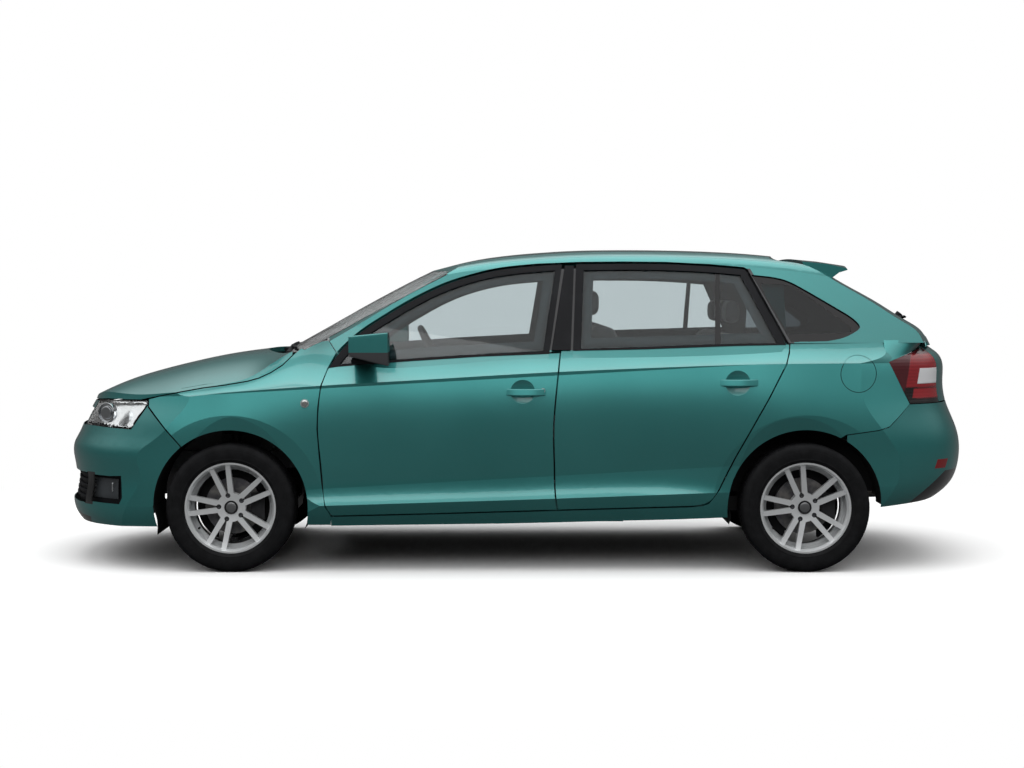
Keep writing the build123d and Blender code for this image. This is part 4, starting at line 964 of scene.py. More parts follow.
@dataclass
class Coachwork:
    """Finishes of the model's own nodes."""

    satin: Plastic = Plastic("satin_black", (0.0055, 0.0060, 0.0078), 0.46, shine=0.14)
    liner: Plastic = Plastic("liner_felt", (0.007, 0.007, 0.008), 0.85, 500.0, 0.0003)
    glass: Pane = Pane("side_glass")
    door_glass: Pane = Pane("rear_door_glass", strip=((910, 1000), (926, 1365), (946, 1365), (936, 1000)))
    quarter: Pane = Pane("quarter_glass", (0.17, 0.20, 0.215), border=0.034,
                         outline=((1178, 1040), (1085, 1346), (1290, 1330), (1577, 1120), (1560, 1048)))
    screen: Pane = Pane("screen_glass", (0.84, 0.875, 0.88))
    cast: Metal = Metal("cast_grey", (0.16, 0.16, 0.165), 0.55, 0.7)
    black_steel: Metal = Metal("black_steel", (0.020, 0.020, 0.022), 0.5, 0.4)
    pipe: Metal = Metal("dull_steel", (0.32, 0.30, 0.28), 0.45, 0.9)
    primer: Plastic = Plastic("grey_primer", (0.08, 0.085, 0.09), 0.55, 300.0)
    dash: Plastic = Plastic("dash_grain", (0.020, 0.0205, 0.022), 0.6, 700.0, 0.0002)
    tank: Plastic = Plastic("tank_black", (0.012, 0.012, 0.013), 0.5)
    cloth: Cloth = Cloth("seat_cloth")
    rubber: Rubber = Rubber("tyre_rubber")
    alloy: WheelMetal = WheelMetal("alloy_silver", (FRONT_FACE + 8) / 1000)
    lens: Pane = Pane("lamp_lens", (0.97, 0.98, 0.98))

    def apply(self) -> None:
        """Dress every node of the model."""
        for side in Side:
            paint = CarPaint(f"paint_{side.word}", inward=(0, -side.value, 0), crowned=True,
                             hand=side.value).material()
            for part in ("front_door", "rear_door", "body_side", "front_fender"):
                dress(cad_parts[f"{part}_{side.word}"], paint)
        self.on(CarPaint("paint_roof", inner=HEADLINING, inward=(0, 0, -1)), "roof_panel")
        self.on(CarPaint("paint_bonnet", inward=(0, 0, -1)), "bonnet")
        self.on(CarPaint("paint_tailgate", inward=(-0.8, 0, -0.6)), "tailgate")
        self.on(FrontBumperPaint("paint_front", inward=(0.8, 0, 0)), "front_bumper")
        self.on(RearBumperPaint("paint_rear", inward=(-0.8, 0, 0)), "rear_bumper")
        self.on(TailLens(), "tail_lamps")
        self.on(self.satin, *self.pairs("door_mirror", "front_door_trim", "rear_door_trim", "pillar_cover"),
                "grille", "cowl", "front_wipers", "rear_wiper")
        self.on(self.liner, "arch_liners")
        self.on(self.glass, *self.pairs("front_door_glass"), "tailgate_glass")
        self.on(self.door_glass, *self.pairs("rear_door_glass"))
        self.on(self.quarter, "quarter_windows")
        self.on(self.screen, "windscreen")
        self.on(self.lens, "headlamps")
        self.on(self.rubber, *self.pairs("front_tyre", "rear_tyre"))
        self.on(self.alloy, *self.pairs("front_rim", "rear_rim"))
        self.on(self.black_steel, *self.pairs("steering_knuckle"), "rear_axle", "front_subframe")
        self.on(self.primer, "front_structure", "floor_pan", "bulkhead", "rear_panel")
        self.on(self.cast, "radiator", "engine_block")
        self.on(self.pipe, "exhaust")
        self.on(self.tank, "fuel_tank")
        self.on(self.dash, "dashboard", "steering_wheel", "parcel_shelf")
        self.on(self.cloth, "front_seats", "rear_seat")

    def pairs(self, *parts: str) -> list[str]:
        """The left and the right node of each part."""
        return [f"{part}_{side.word}" for part in parts for side in Side]

    def on(self, finish: object, *nodes: str) -> None:
        """Dress nodes alike."""
        material = finish.material()
        for node in nodes:
            dress(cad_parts[node], material)


# --------------------------------------------------------------------------- headlamps


@dataclass
class Headlamps:
    """Clear wedge lenses over a bright bowl, with a round projector in the front half of each."""

    lens_wall: float = 3.0
    bowl_depth: float = 44.0
    bowl_wall: float = 4.0
    rim_wall: float = 3.0
    rim_overlap: float = 6.0
    projector: Point = (-1868.0, -628.0, 712.0)
    projector_radius: float = 46.0
    projector_depth: float = 26.0
    projector_aim: Point = (-0.45, 0.89, 0.06)
    lens: Pane = Pane("headlamp_lens", (0.97, 0.98, 0.98))
    bowl: Mirror = Mirror("headlamp_bowl", (0.90, 0.91, 0.92), 0.16, 260.0)
    chrome: Mirror = Mirror("projector_chrome", (0.62, 0.64, 0.66), 0.10)
    bezel: Plastic = Plastic("lamp_bezel", (0.010, 0.010, 0.011), 0.35)

    def build(self) -> None:
        """Make both lamps and let them stand for the model's plain blocks."""
        pieces = []
        for side in Side:
            for maker in (self.make_lens, self.make_bowl, self.make_projector, self.make_shell):
                pieces.append(maker(side))
        for piece in pieces:
            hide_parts("headlamps")

    def outer_skin(self, side: Side, name: str) -> bpy.types.Object:
        """The block's outward faces on one side."""
        hand = side.value

        def outward(face: bmesh.types.BMFace) -> bool:
            return (face.calc_center_median().y * hand > 0 and face.normal.y * hand - face.normal.x > 0.35
                    and abs(face.normal.z) < 0.80)
        return SHOP.skin_of("headlamps", name, outward)

    def make_lens(self, side: Side) -> bpy.types.Object:
        """Thin clear cover."""
        piece = self.outer_skin(side, f"headlamp_lens_{side.word}")
        SHOP.shell(piece, self.lens_wall)
        return fit(piece, "body", self.lens.material())

    def make_bowl(self, side: Side) -> bpy.types.Object:
        """Bright reflector behind the lens, black towards the nose."""
        piece = self.outer_skin(side, f"headlamp_bowl_{side.word}")
        SHOP.pick(piece, lambda face: True)
        bpy.ops.transform.shrink_fatten(value=-self.bowl_depth / 1000)
        SHOP.leave()
        SHOP.shell(piece, self.bowl_wall)
        return fit(piece, "body", self.bowl.material())

    def make_projector(self, side: Side) -> bpy.types.Object:
        """Round projector: a ring, a dished reflector and a lens."""
        hand = side.value
        x, y, z = self.projector
        aim_x, aim_y, aim_z = self.projector_aim
        centre, axis = at(x, -y * hand, z), Vector((aim_x, aim_y * hand, aim_z)).normalized()
        piece = SHOP.drum(f"projector_{side.word}", self.projector_radius, self.projector_depth, centre, axis)
        SHOP.pick_end(piece, axis)
        SHOP.rim(5, axis * -0.010)
        SHOP.rim(12, axis * 0.012)
        bpy.ops.mesh.inset(thickness=0.006)
        SHOP.leave()
        SHOP.soften(piece, 1.2)
        return fit(piece, "body", self.chrome.material())

    def make_shell(self, side: Side) -> bpy.types.Object:
        """Black rim between the lens and the bowl."""
        piece = self.outer_skin(side, f"headlamp_rim_{side.word}")
        piece.data.materials.clear()
        for index in range(3):
            piece.data.materials.append(None)
        SHOP.modify(piece, "SOLIDIFY", thickness=(self.bowl_depth + self.rim_overlap) / 1000, offset=-1,
                    material_offset=1, material_offset_rim=2)
        SHOP.pick(piece, lambda face: face.material_index < 2)
        bpy.ops.mesh.delete(type="FACE")
        SHOP.leave()
        while len(piece.data.materials) > 1:
            piece.data.materials.pop()
        for face in piece.data.polygons:
            face.material_index = 0
        SHOP.shell(piece, self.rim_wall)
        return fit(piece, "body", self.bezel.material())


# --------------------------------------------------------------------------- wheels


@dataclass
class WheelSet:
    """Tyres with tread, wheel bolts, plain centre caps, valves and brake calipers."""

    tyre_radius: float = 291.0
    tread_half: float = 74.0
    sections: int = 96
    channels: tuple[Span, ...] = ((16, 24), (50, 58))
    wall_line: tuple[Span, ...] = (
        (289.5, 80), (285, 88), (276, 93.5), (262, 96.5), (258, 96.2), (257, 97.2), (240, 97.5), (224, 95),
        (222, 96), (214, 92), (207, 86), (204.6, 80), (204.6, 60))
    bolt_circle: float = 56.0
    first_bolt: float = 33.0
    bolt_count: int = 5
    hub: float = 50.0
    cap_ring: float = 31.0
    cap_radius: float = 23.0
    valve_circle: float = 172.0
    shield_radius: float = 168.0
    shield_depth: float = 36.0
    shield_inset: float = 66.0
    caliper_blocks: tuple[tuple[Span, Span, float], ...] = (
        ((84, 138), (-18, -4), 56), ((84, 138), (-70, -48), 56), ((131, 146), (-70, -4), 44))
    rubber: Rubber = Rubber("tyre_rubber_moulded")
    steel: Metal = Metal("bolt_steel", (0.075, 0.077, 0.082), 0.36, 0.9)
    cap: Metal = Metal("cap_grey", (0.20, 0.205, 0.21), 0.30, 0.8, 0.5)
    ring: Plastic = Plastic("cap_ring", (0.010, 0.010, 0.011), 0.35)
    caliper: Metal = Metal("caliper_cast", (0.055, 0.055, 0.06), 0.5, 0.7)
    # black of the brake shield, which also stands in for the shade behind the wheel
    liner: Plastic = Plastic("shield_black", (0.008, 0.008, 0.009), 0.7, shine=0.15)

    def build(self) -> None:
        """Fit out the four wheels."""
        for side in Side:
            for end, x, face in (("front", FRONT_AXLE_X, FRONT_FACE), ("rear", REAR_AXLE_X, REAR_FACE)):
                wheel = f"{end}_wheel_{side.word}"
                middle = at(x, side.value * face, WHEEL_Z)
                self.bolts(wheel, middle, side)
                self.centre_cap(wheel, middle, side)
                self.valve(wheel, middle, side)
                self.brake(f"{end}_caliper_{side.word}", middle, side,
                           f"knuckle_{side.word}" if end == "front" else "body")
                self.tyre(wheel, middle, side)

    def on_face(self, middle: Vector, side: Side, radius: float, angle: float, out: float) -> Vector:
        """A point on the wheel.

        Args:
            middle: The wheel's middle, in metres.
            side: Side of the car.
            radius: Distance from the axle, in millimetres.
            angle: Turn from the rear, upwards on the left side, in degrees.
            out: Distance outwards from the wheel's middle plane, in millimetres.

        Returns:
            The point, in metres.
        """
        turn = math.radians(angle)
        along, up = radius * math.cos(turn), -side.value * radius * math.sin(turn)
        return middle + Vector((along, side.value * out, up)) / 1000

    def bolts(self, wheel: str, middle: Vector, side: Side) -> None:
        """Five hexagon bolts, each on a black disc that is painted shade for its recess."""
        outward = Vector((0, side.value, 0))
        shade_discs, heads = [], []
        for index in range(self.bolt_count):
            angle = self.first_bolt + 360 / self.bolt_count * index
            place = self.on_face(middle, side, self.bolt_circle, angle, self.hub - 4)
            # painted shade: a black disc round each bolt stands for the shade in the bolt's recess
            shade_disc = SHOP.drum("bolt_pocket", 13.5, 2, place + outward * 0.0036, outward, 40)
            head = SHOP.drum("bolt", 8.6, 9, place + outward * 0.003, outward, 6)
            SHOP.pick_end(head, outward)
            SHOP.rim(2.2, outward * -0.002)
            SHOP.leave()
            shade_discs.append(SHOP.soften(shade_disc, 0.5, 2))
            heads.append(SHOP.soften(head, 0.9, 2))
        fit(SHOP.joined(f"{wheel}_bolt_pockets", shade_discs), wheel, self.ring.material())
        fit(SHOP.joined(f"{wheel}_bolts", heads), wheel, self.steel.material())

    def centre_cap(self, wheel: str, middle: Vector, side: Side) -> None:
        """Plain domed cap in a black ring."""
        outward = Vector((0, side.value, 0))
        place = self.on_face(middle, side, 0, 0, self.hub + 2)
        ring = SHOP.drum(f"{wheel}_cap_ring", self.cap_ring, 6, place, outward, 64)
        SHOP.pick_end(ring, outward)
        SHOP.rim(4, outward * -0.003)
        SHOP.leave()
        fit(SHOP.soften(ring, 0.7), wheel, self.ring.material())
        cap = SHOP.drum(f"{wheel}_cap", self.cap_radius, 7, place, outward, 64)
        SHOP.pick_end(cap, outward)
        SHOP.dome(6, outward * 0.0012)
        SHOP.dome(9, outward * 0.0006)
        SHOP.leave()
        fit(SHOP.soften(cap, 0.8, 3), wheel, self.cap.material())

    def valve(self, wheel: str, middle: Vector, side: Side) -> None:
        """Tyre valve beside a spoke, on the outer flange."""
        outward = Vector((0, side.value, 0))
        place = self.on_face(middle, side, self.valve_circle, self.first_bolt + 180, self.hub + 2)
        stem = SHOP.drum("valve", 4.2, 20, place, outward, 16)
        tip = SHOP.drum("valve", 5.2, 9, place + outward * 0.011, outward, 16)
        fit(SHOP.joined(f"{wheel}_valve", [SHOP.soften(stem, 0.8), SHOP.soften(tip, 0.8)]), wheel,
            self.rubber.material())

    def brake(self, name: str, middle: Vector, side: Side, body: str) -> None:
        """Caliper behind the axle, over the edge of the disc."""
        outward = Vector((0, side.value, 0))
        parts = []
        for (start, end), reach, half in self.caliper_blocks:
            near, far = sorted(side.value * out / 1000 for out in reach)
            parts.append(SHOP.slab(name, middle + Vector((start / 1000, near, -half / 1000)),
                                   middle + Vector((end / 1000, far, half / 1000))))
        parts.append(SHOP.drum(name, 24, 26, middle + Vector((0.108, side.value * -0.074, 0)), outward, 32))
        for part in parts:
            SHOP.soften(part, 5, 3)
        fit(SHOP.joined(name, parts), body, self.caliper.material())
        # partly a real dust shield, partly painted shade: a black drum sized to fill the wheel's barrel
        # stands for the shade and parts behind the wheel
        shield = SHOP.drum(f"{name}_shield", self.shield_radius, self.shield_depth,
                           middle - outward * self.shield_inset / 1000, outward, self.sections)
        notch = SHOP.slab("notch", middle + Vector((-0.075, -0.2, -0.2)),
                          middle + Vector((0.075, 0.2, -0.118)))
        SHOP.modify(shield, "BOOLEAN", object=notch, operation="DIFFERENCE", solver="EXACT")
        bpy.data.objects.remove(notch)
        fit(SHOP.soften(shield, 1.0), body, self.liner.material())

    def tyre(self, wheel: str, middle: Vector, side: Side) -> None:
        """Tyre with ribs, grooves and shoulder sipes, in place of the model's plain one."""
        node = wheel.replace("wheel", "tyre")
        outward = Vector((0, side.value, 0))
        piece = SHOP.drum(f"{wheel}_tread", self.tyre_radius, 2 * self.tread_half, middle, outward,
                          self.sections)
        SHOP.pick(piece, lambda face: abs(face.normal.y) > 0.9)
        bpy.ops.mesh.delete(type="FACE")
        for cut in sorted(hand * edge for channel in self.channels for edge in channel for hand in (-1, 1)):
            bpy.ops.mesh.select_all(action="SELECT")
            bpy.ops.mesh.bisect(plane_co=middle + outward * cut / 1000, plane_no=(0, 1, 0))
        SHOP.leave()
        self.grooves(piece, middle)
        self.sipes(piece, middle)
        self.walls(piece, middle)
        SHOP.smooth(SHOP.outward(piece), 32.0)
        fit(piece, wheel, self.rubber.material())
        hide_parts(node)

    def off_plane(self, face: bmesh.types.BMFace, middle: Vector) -> float:
        """A face's distance from the wheel's middle plane, in millimetres."""
        return abs(face.calc_center_median().y - middle.y) * 1000

    def grooves(self, piece: bpy.types.Object, middle: Vector) -> None:
        """Sink the four water channels."""
        for low, high in self.channels:
            for hand in (-1, 1):
                SHOP.pick(piece, lambda face: low < self.off_plane(face, middle) < high
                          and (face.calc_center_median().y - middle.y) * hand > 0)
                bpy.ops.mesh.extrude_region_move(TRANSFORM_OT_translate={"value": (0, 0, 0)})
                bpy.ops.transform.resize(value=(0.976, 1, 0.976), center_override=middle)
                SHOP.leave()

    def sipes(self, piece: bpy.types.Object, middle: Vector) -> None:
        """Cut a short slot into every second block of the shoulders and every third of the inner ribs."""
        step = 2 * math.pi / self.sections
        (_, rib), (shoulder, groove) = self.channels

        def slotted(face: bmesh.types.BMFace) -> bool:
            centre = face.calc_center_median() - middle
            if abs(face.normal.y) > 0.3 or math.hypot(centre.x, centre.z) < (self.tyre_radius - 3) / 1000:
                return False
            far = abs(centre.y) * 1000
            turn = round((math.atan2(centre.z, centre.x) + math.pi) / step)
            return (far > groove + 2 and turn % 2 == 0) or (rib < far < shoulder and turn % 3 == 0)
        SHOP.pick(piece, slotted)
        bpy.ops.mesh.inset(thickness=0.0065, use_individual=True)
        bpy.ops.transform.resize(value=(0.981, 1, 0.981), center_override=middle)
        SHOP.leave()

    def walls(self, piece: bpy.types.Object, middle: Vector) -> None:
        """Draw the shoulders and side walls in from the tread's two edges."""
        for hand in (-1, 1):
            edge_y = middle.y + hand * self.tread_half / 1000
            SHOP.take(piece)
            bpy.ops.object.mode_set(mode="EDIT")
            bpy.ops.mesh.select_mode(type="EDGE")
            bpy.ops.mesh.select_all(action="DESELECT")
            mesh = bmesh.from_edit_mesh(piece.data)
            for edge in mesh.edges:
                near = all(abs(vert.co.y - edge_y) < 0.0002 for vert in edge.verts)
                edge.select_set(near and edge.is_boundary)
            bmesh.update_edit_mesh(piece.data)
            radius, out = self.tyre_radius, self.tread_half
            for next_radius, next_out in self.wall_line:
                bpy.ops.mesh.extrude_edges_move(TRANSFORM_OT_translate={
                    "value": (0, hand * (next_out - out) / 1000, 0)})
                bpy.ops.transform.resize(value=(next_radius / radius, 1, next_radius / radius),
                                         center_override=middle)
                radius, out = next_radius, next_out
            SHOP.leave()


# --------------------------------------------------------------------------- panels laid on the bodywork


@dataclass
class Panels:
    """Rear shoulders, fuel-flap joint, gutters, covers and flaps, laid on the model's own panels."""

    proud: float = 0.7
    flap_middle: Span = (1555.0, 898.0)
    flap_radii: Span = (81.3, 84.7)
    gutter_line: tuple[Span, ...] = (
        (-1645, 790), (-1500, 820), (-1400, 838), (-1300, 851), (-1200, 868), (-1150, 882), (-1100, 905),
        (-1050, 938), (-1008, 980))
    arch_flaps: tuple[tuple[float, ...], ...] = (
        (-1632, 300, -1612, 172, 480, 815), (-932, 300, -946, 200, 480, 800),
        (970, 300, 978, 214, 560, 795))
    arch_bow: float = 10.0
    black: Plastic = Plastic("body_black", (0.006, 0.0062, 0.0068), 0.6, shine=0.15)
    cover: Plastic = Plastic("fog_cover", (0.040, 0.045, 0.050), 0.42)
    chrome: Metal = Metal("fog_chrome", (0.62, 0.64, 0.66), 0.2, 1.0)
    shoulder: Span = (1684.0, 1884.0)
    shoulder_foot: float = 954.0
    shoulder_rise: float = 60 / 172
    shoulder_top: float = 1048.0
    gutter_inset: float = 35.0
    gutter_reach: Span = (-26.0, 12.0)
    flap_seat: float = 88.0
    fog_corner: Span = (-1946.0, 318.0)
    fog_size: Span = (134.0, 92.0)
    fog_out: float = 11.0
    wall: float = 3.0

    def build(self) -> None:
        """Make every panel on both sides."""
        for side in Side:
            paint = CarPaint(f"shoulder_paint_{side.word}", tilt=0.25).material()
            sides = (f"body_side_{side.word}", "rear_bumper", "tail_lamps")
            self.rear_shoulder(side, sides, paint)
            self.flap_joint(side)
            self.bonnet_gutter(side)
            self.fog_cover(side)
            self.blinds(side)

    def rear_shoulder(self, side: Side, nodes: Sequence[str], paint: bpy.types.Material) -> None:
        """Shoulder between the rear quarter's glasshouse and the tail lamp."""
        hand = side.value
        start, end = self.shoulder

        def place(along: float, across: float) -> Vector:
            x = start + along * (end - start)
            low = self.shoulder_foot + max(x - 1700, 0) * self.shoulder_rise
            z = low + across * (self.shoulder_top - low)
            bottom = SHOP.reach(nodes, x, low, hand) or 700
            top = SHOP.reach(nodes[:1], x, self.shoulder_top, hand) or bottom
            bulge = 5 * math.sin(math.pi * across) * along ** 0.5
            out = bottom + across * (top - bottom) + bulge + self.proud * (1 - across) * along
            return at(x, hand * out, z)
        piece = SHOP.curved_panel(f"rear_shoulder_{side.word}", 40, 8, place)
        self.finish(piece, hand, paint)

    def flap_joint(self, side: Side) -> None:
        """Dark joint round the fuel flap, in its groove."""
        hand, node = side.value, (f"body_side_{side.word}",)
        (middle_x, middle_z), (inner, outer) = self.flap_middle, self.flap_radii

        def place(along: float, across: float) -> Vector:
            angle = along * 2 * math.pi
            radius = inner + across * (outer - inner)
            turn_x, turn_z, seat = math.cos(angle), math.sin(angle), self.flap_seat
            edge = SHOP.reach(node, middle_x + seat * turn_x, middle_z + seat * turn_z, hand) or 780
            return at(middle_x + radius * turn_x, hand * (edge - 0.2), middle_z + radius * turn_z)
        piece = SHOP.curved_panel(f"fuel_flap_joint_{side.word}", 96, 1, place)
        self.finish(piece, hand, self.black.material(), 1.0)

    def bonnet_gutter(self, side: Side) -> None:
        """Upright lip along the fender, inside the bonnet's edge."""
        hand, line = side.value, self.gutter_line
        (start, _), (end, _) = line[0], line[-1]

        def place(along: float, across: float) -> Vector:
            x = start + along * (end - start)
            (x0, z0), (x1, z1) = next(pair for pair in zip(line, line[1:]) if x <= pair[1][0] + 0.01)
            seam = z0 + (x - x0) / (x1 - x0) * (z1 - z0)
            edge = SHOP.reach((f"front_fender_{side.word}",), x, seam - 14, hand) or 700
            low, high = self.gutter_reach
            return at(x, hand * (edge - self.gutter_inset), seam + low + across * (high - low))
        piece = SHOP.curved_panel(f"bonnet_gutter_{side.word}", 48, 1, place)
        self.finish(piece, hand, self.black.material())

    def fog_cover(self, side: Side) -> None:
        """Grey cover with a bright strip in the outer opening of the front bumper."""
        hand = side.value

        def place(along: float, across: float) -> Vector:
            x = self.fog_corner[0] + along * self.fog_size[0]
            z = self.fog_corner[1] + across * self.fog_size[1]
            edge = SHOP.reach(("grille",), x, z, hand) or 690
            return at(x, hand * (edge + self.fog_out - 5 * abs(2 * across - 1) ** 4), z)
        piece = SHOP.curved_panel(f"fog_cover_{side.word}", 24, 12, place)
        self.finish(piece, hand, self.cover.material())
        edge = SHOP.reach(("grille",), -1842, 370, hand) or 690
        strip = SHOP.block(f"fog_strip_{side.word}", side, (-1846, -1838), (edge + 9, edge + 17), (350, 392))
        fit(SHOP.soften(strip, 2.0, 3), "body", self.chrome.material())

    def blinds(self, side: Side) -> None:
        """Black flaps in the arches and kick panels beside the footwells."""
        hand = side.value
        for index, (x_top, z_top, x_low, z_low, near, far) in enumerate(self.arch_flaps):
            def place(along: float, across: float) -> Vector:
                return at(x_top + along * (x_low - x_top) + self.arch_bow * math.sin(math.pi * along),
                          hand * (near + across * (far - near)), z_top + along * (z_low - z_top))
            piece = SHOP.curved_panel(f"arch_flap_{index + 1}_{side.word}", 8, 4, place)
            self.finish(piece, hand, self.black.material())
        kick = SHOP.block(f"kick_panel_{side.word}", side, (-965, -828), (574, 588), (520, 730))
        fit(SHOP.soften(kick, 4.0, 3), "body", self.black.material())

    def finish(self, piece: bpy.types.Object, hand: int, paint: bpy.types.Material,
               wall: float | None = None) -> None:
        """Turn a panel outwards, give it its wall and mount it."""
        SHOP.outward(piece)
        if sum(face.normal.y for face in piece.data.polygons) * hand < 0:
            piece.data.flip_normals()
        SHOP.smooth(SHOP.shell(piece, wall or self.wall), 40.0)
        fit(piece, "body", paint)


# --------------------------------------------------------------------------- door mirrors


@dataclass
class DoorMirrors:
    """Rounded mirror heads with a painted cap over a black base and foot."""

    front_x: float = -735.0
    back_x: float = -557.0
    inner_y: float = 846.0
    outer_y: float = 970.0
    low_z: float = 938.0
    high_z: float = 1089.0
    nose_z: float = 1020.0
    foot_y: Span = (770.0, 900.0)
    black: Plastic = Plastic("mirror_base", (0.005, 0.0055, 0.007), 0.5, shine=0.14)
    silvered: Mirror = Mirror("mirror_glass", (0.72, 0.75, 0.78), 0.02)

    def build(self) -> None:
        """Make both heads."""
        for side in Side:
            head = self.head(side)
            foot = self.foot(side)
            glass = self.glass(side)
            for piece in (head, foot, glass):
                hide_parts(f"door_mirror_{side.word}")

    def head(self, side: Side) -> bpy.types.Object:
        """Housing, narrower towards the nose and hollow at the back."""
        hand = side.value
        piece = SHOP.block(f"mirror_head_{side.word}", side, (self.front_x, self.back_x),
                           (self.inner_y, self.outer_y), (self.low_z, self.high_z))
        middle = at((self.front_x + self.back_x) / 2, hand * (self.inner_y + self.outer_y) / 2, self.nose_z)
        SHOP.pick(piece, lambda face: face.normal.x < -0.9)
        bpy.ops.transform.resize(value=(1, 0.72, 0.60), center_override=middle)
        bpy.ops.transform.translate(value=(0, 0, 0.010))
        SHOP.leave()
        SHOP.pick(piece, lambda face: face.normal.x > 0.9)
        SHOP.rim(9, Vector((-0.014, 0, 0)))
        SHOP.leave()
        SHOP.subdivided(SHOP.bevel(piece, 40, 2), 2)
        paint = MirrorPaint(f"mirror_{side.word}").material()
        return fit(piece, f"front_door_{side.word}", paint)

    def foot(self, side: Side) -> bpy.types.Object:
        """Arm from the sail panel to the head."""
        hand, (root, tip) = side.value, self.foot_y
        piece = SHOP.block(f"mirror_foot_{side.word}", side, (-728, -618), (root, tip), (944, 974))
        SHOP.pick(piece, lambda face: face.normal.y * hand < -0.9)
        bpy.ops.transform.resize(value=(0.85, 1, 1.15), center_override=at(-690, hand * root, 958))
        SHOP.leave()
        SHOP.subdivided(SHOP.bevel(piece, 10, 3), 2)
        return fit(piece, f"front_door_{side.word}", self.black.material())

    def glass(self, side: Side) -> bpy.types.Object:
        """Silvered glass set into the housing's back."""
        piece = SHOP.block(f"mirror_glass_{side.word}", side, (self.back_x - 14, self.back_x - 9),
                           (self.inner_y + 16, self.outer_y - 14), (self.low_z + 20, self.high_z - 16))
        SHOP.bevel(piece, 14, 4)
        return fit(piece, f"front_door_{side.word}", self.silvered.material())


# --------------------------------------------------------------------------- window surrounds


@dataclass
class WindowSurrounds:
    """Inner frames that stand behind the side glass."""

    width: float = 0.046
    sink: float = 0.014
    wall: float = 0.006
    trim: Plastic = Plastic("frame_trim", (0.020, 0.034, 0.040), 0.6)

    def build(self) -> None:
        """One frame for each door glass."""
        for side in Side:
            for end in ("front", "rear"):
                self.surround(f"{end}_door_glass_{side.word}", f"{end}_door_{side.word}", side.value)

    def surround(self, node: str, body: str, hand: int) -> None:
        """Ring behind one pane, cut from the pane's own outline."""
        piece = SHOP.skin_of(node, f"{node}_surround", lambda face: face.normal.y * hand < -0.5)
        SHOP.pick(piece, lambda face: True)
        bpy.ops.mesh.dissolve_limited(angle_limit=math.radians(1))
        bpy.ops.mesh.select_all(action="SELECT")
        bpy.ops.mesh.inset(thickness=self.width)
        bpy.ops.mesh.delete(type="FACE")
        bpy.ops.mesh.select_all(action="SELECT")
        bpy.ops.transform.translate(value=(0, -hand * self.sink, 0))
        SHOP.leave()
        SHOP.modify(piece, "SOLIDIFY", thickness=self.wall, offset=0)
        fit(piece, body, self.trim.material())


# --------------------------------------------------------------------------- seats


@dataclass
class Seats:
    """Upholstered seats, each cushion swelled from its own block."""

    voxel: float = 0.009
    edge: float = 34.0
    pressure: float = 4.0
    steps: int = 20
    head_pitch: float = 0.3125
    cover: Cloth = Cloth("seat_cover")

    def build(self) -> None:
        """Front pair and rear bench, in place of the model's plain blocks."""
        front, rear = [], []
        cushion = self.pad("front_cushion_left", (-285, 190), (-590, -122), (352, 498), 3.0, (0.020, 0.030))
        back = self.pad("front_back_left", (196, 322), (-582, -130), (470, 1172), 0.0, (0.020, 0.026),
                        lean=15.0, pivot=(200, 470))
        rest = self.pad("front_headrest_left", (322, 408), (-478, -232), (1150, 1280), 0.0, (0.012, 0.015))
        for piece in (cushion, back, rest):
            front.append(piece)
            front.append(SHOP.twin(piece, piece.name.replace("left", "right"), MIRROR))
        bench = self.pad("rear_cushion", (500, 960), (-585, 585), (352, 520), 3.0, (0.020, 0.030))
        rear.append(bench)
        rear.append(self.pad("rear_back", (905, 1030), (-585, 585), (500, 1112), 0.0, (0.020, 0.026),
                             lean=6.0, pivot=(920, 500)))
        outer = self.pad("rear_headrest_left", (996, 1078), (-420, -205), (1112, 1232), 0.0, (0.012, 0.015))
        rear += [outer, SHOP.twin(outer, "rear_headrest_right", MIRROR),
                 SHOP.twin(outer, "rear_headrest_middle", Matrix.Translation((0, self.head_pitch, 0)))]
        for pieces, node in ((front, "front_seats"), (rear, "rear_seat")):
            for piece in pieces:
                fit(piece, "body", self.cover.material())
                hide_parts(node)

    def pad(self, name: str, x: Span, y: Span, z: Span, rake: float, swell: Span, lean: float = 0.0,
            pivot: Span = (0.0, 0.0)) -> bpy.types.Object:
        """One padded block.

        Args:
            name: Piece name.
            x: Its reach along the car, in millimetres.
            y: Its reach across the car.
            z: Its reach in height.
            rake: Turn about its own middle, in degrees.
            swell: How much smaller the starting block is than the pad, and cap of the swelling, in metres.
            lean: Turn towards the rear, in degrees.
            pivot: Point of the side view that the turn leaves where it is.

        Returns:
            The finished pad.
        """
        inset = swell[0] * 500
        low, high = zip(*((start + inset, end - inset) for start, end in (x, y, z)))
        piece = SHOP.bevel(SHOP.slab(name, at(*low), at(*high)), self.edge, 5)
        if lean or rake:
            centre = at(pivot[0], 0, pivot[1]) if lean else at(sum(x) / 2, 0, sum(z) / 2)
            turn = Matrix.Rotation(math.radians(lean + rake), 4, "Y")
            piece.data.transform(Matrix.Translation(centre) @ turn @ Matrix.Translation(-centre))
        self.swell(piece, swell[1])
        return SHOP.subdivided(piece, 1)

    def swell(self, piece: bpy.types.Object, cap: float) -> None:
        """Blow the pad up a little with cloth, no point moving past the cap."""
        SHOP.modify(piece, "REMESH", mode="VOXEL", voxel_size=self.voxel)
        rest = [vert.co.copy() for vert in piece.data.vertices]
        SHOP.take(piece)
        cloth = piece.modifiers.new("Cloth", "CLOTH")
        cloth.settings.use_pressure = True
        cloth.settings.uniform_pressure_force = self.pressure
        cloth.settings.effector_weights.gravity = 0.0
        cloth.settings.quality = 4
        for step in range(1, self.steps + 1):
            bpy.context.scene.frame_set(step)
        bpy.ops.object.modifier_apply(modifier=cloth.name)
        bpy.context.scene.frame_set(1)
        for vert, start in zip(piece.data.vertices, rest):
            move = vert.co - start
            if move.length > cap:
                vert.co = start + move.normalized() * cap


# --------------------------------------------------------------------------- small fitted details


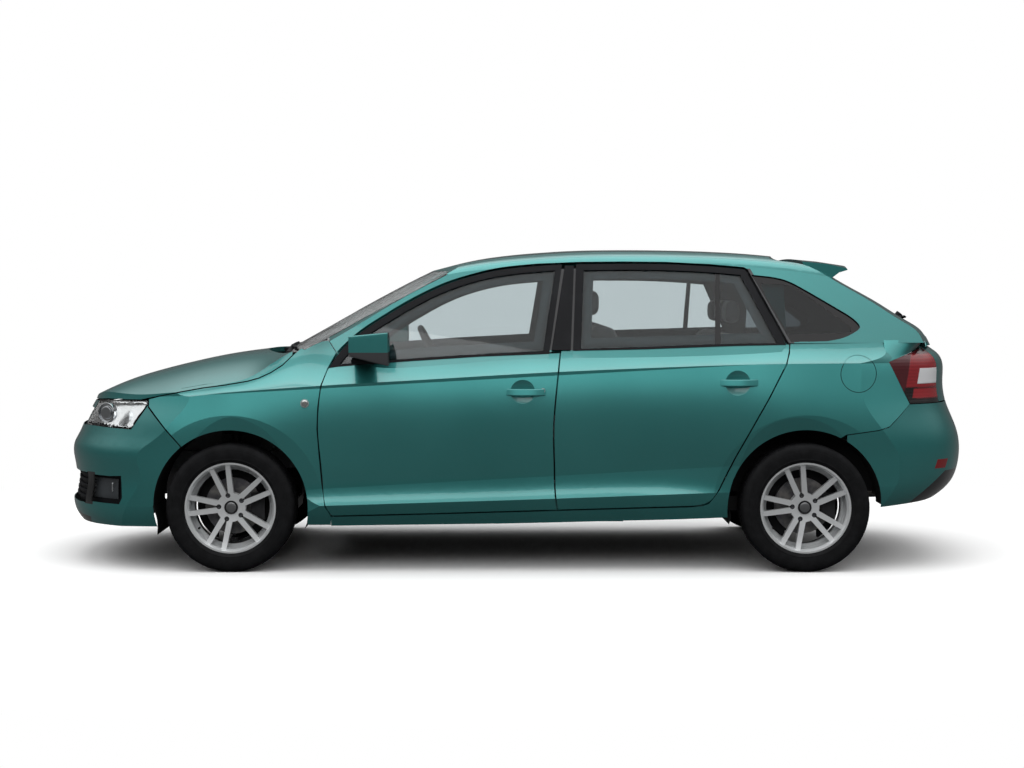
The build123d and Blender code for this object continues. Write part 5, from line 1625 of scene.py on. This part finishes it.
@dataclass
class Fittings:
    """Lock cylinder and side repeaters."""

    silver: Metal = Metal("lock_silver", (0.55, 0.56, 0.57), 0.28, 0.95, 0.3)
    fluted: Mirror = Mirror("repeater_lens", (0.60, 0.61, 0.60), 0.22, 700.0)
    pale: Plastic = Plastic("repeater_ring", (0.30, 0.36, 0.36), 0.4)
    lock_place: Point = (132.0, -847.5, 825.0)
    lock_radius: float = 10.0
    repeater_place: Point = (-940.0, 845.0, 767.0)
    ring_radius: float = 19.5
    lens_radius: float = 15.0

    def build(self) -> None:
        """Add every detail, on both sides where the car has it twice."""
        for side in Side:
            outward = Vector((0, side.value, 0))
            self.repeater(side, outward)
            if side is Side.LEFT:
                self.lock(outward)

    def lock(self, outward: Vector) -> None:
        """Key cylinder beside the driver's handle."""
        body = SHOP.drum("lock_cylinder", self.lock_radius, 5, at(*self.lock_place), outward, 40)
        SHOP.pick_end(body, outward)
        SHOP.rim(2.5, outward * -0.001)
        SHOP.leave()
        slot = SHOP.slab("lock_cylinder", at(128.5, -850.2, 824.2), at(135.5, -849.0, 825.8))
        fit(SHOP.joined("lock_cylinder", [SHOP.soften(body, 0.5), slot]), "front_door_left",
            self.silver.material())

    def repeater(self, side: Side, outward: Vector) -> None:
        """Round side repeater in the fender."""
        x, y, z = self.repeater_place
        place = at(x, side.value * y, z)
        ring = SHOP.drum(f"repeater_ring_{side.word}", self.ring_radius, 5, place, outward, 48)
        fit(SHOP.soften(ring, 1.4), "body", self.pale.material())
        lens = SHOP.drum(f"repeater_lens_{side.word}", self.lens_radius, 8, place, outward, 48)
        SHOP.pick_end(lens, outward)
        SHOP.dome(5, outward * 0.0012)
        SHOP.leave()
        fit(SHOP.soften(lens, 1.2), "body", self.fluted.material())


# --------------------------------------------------------------------------- assembly


def main() -> None:
    """Dress the car, add its fitted details and set up the studio."""
    logging.basicConfig(level=logging.INFO, format="%(name)s: %(message)s")
    Coachwork().apply()
    for assembly in (Headlamps, WheelSet, Panels, DoorMirrors, WindowSurrounds, Seats, Fittings):
        assembly().build()
    Studio().build()
    Viewpoint().place()


if __name__ == "__main__":
    main()
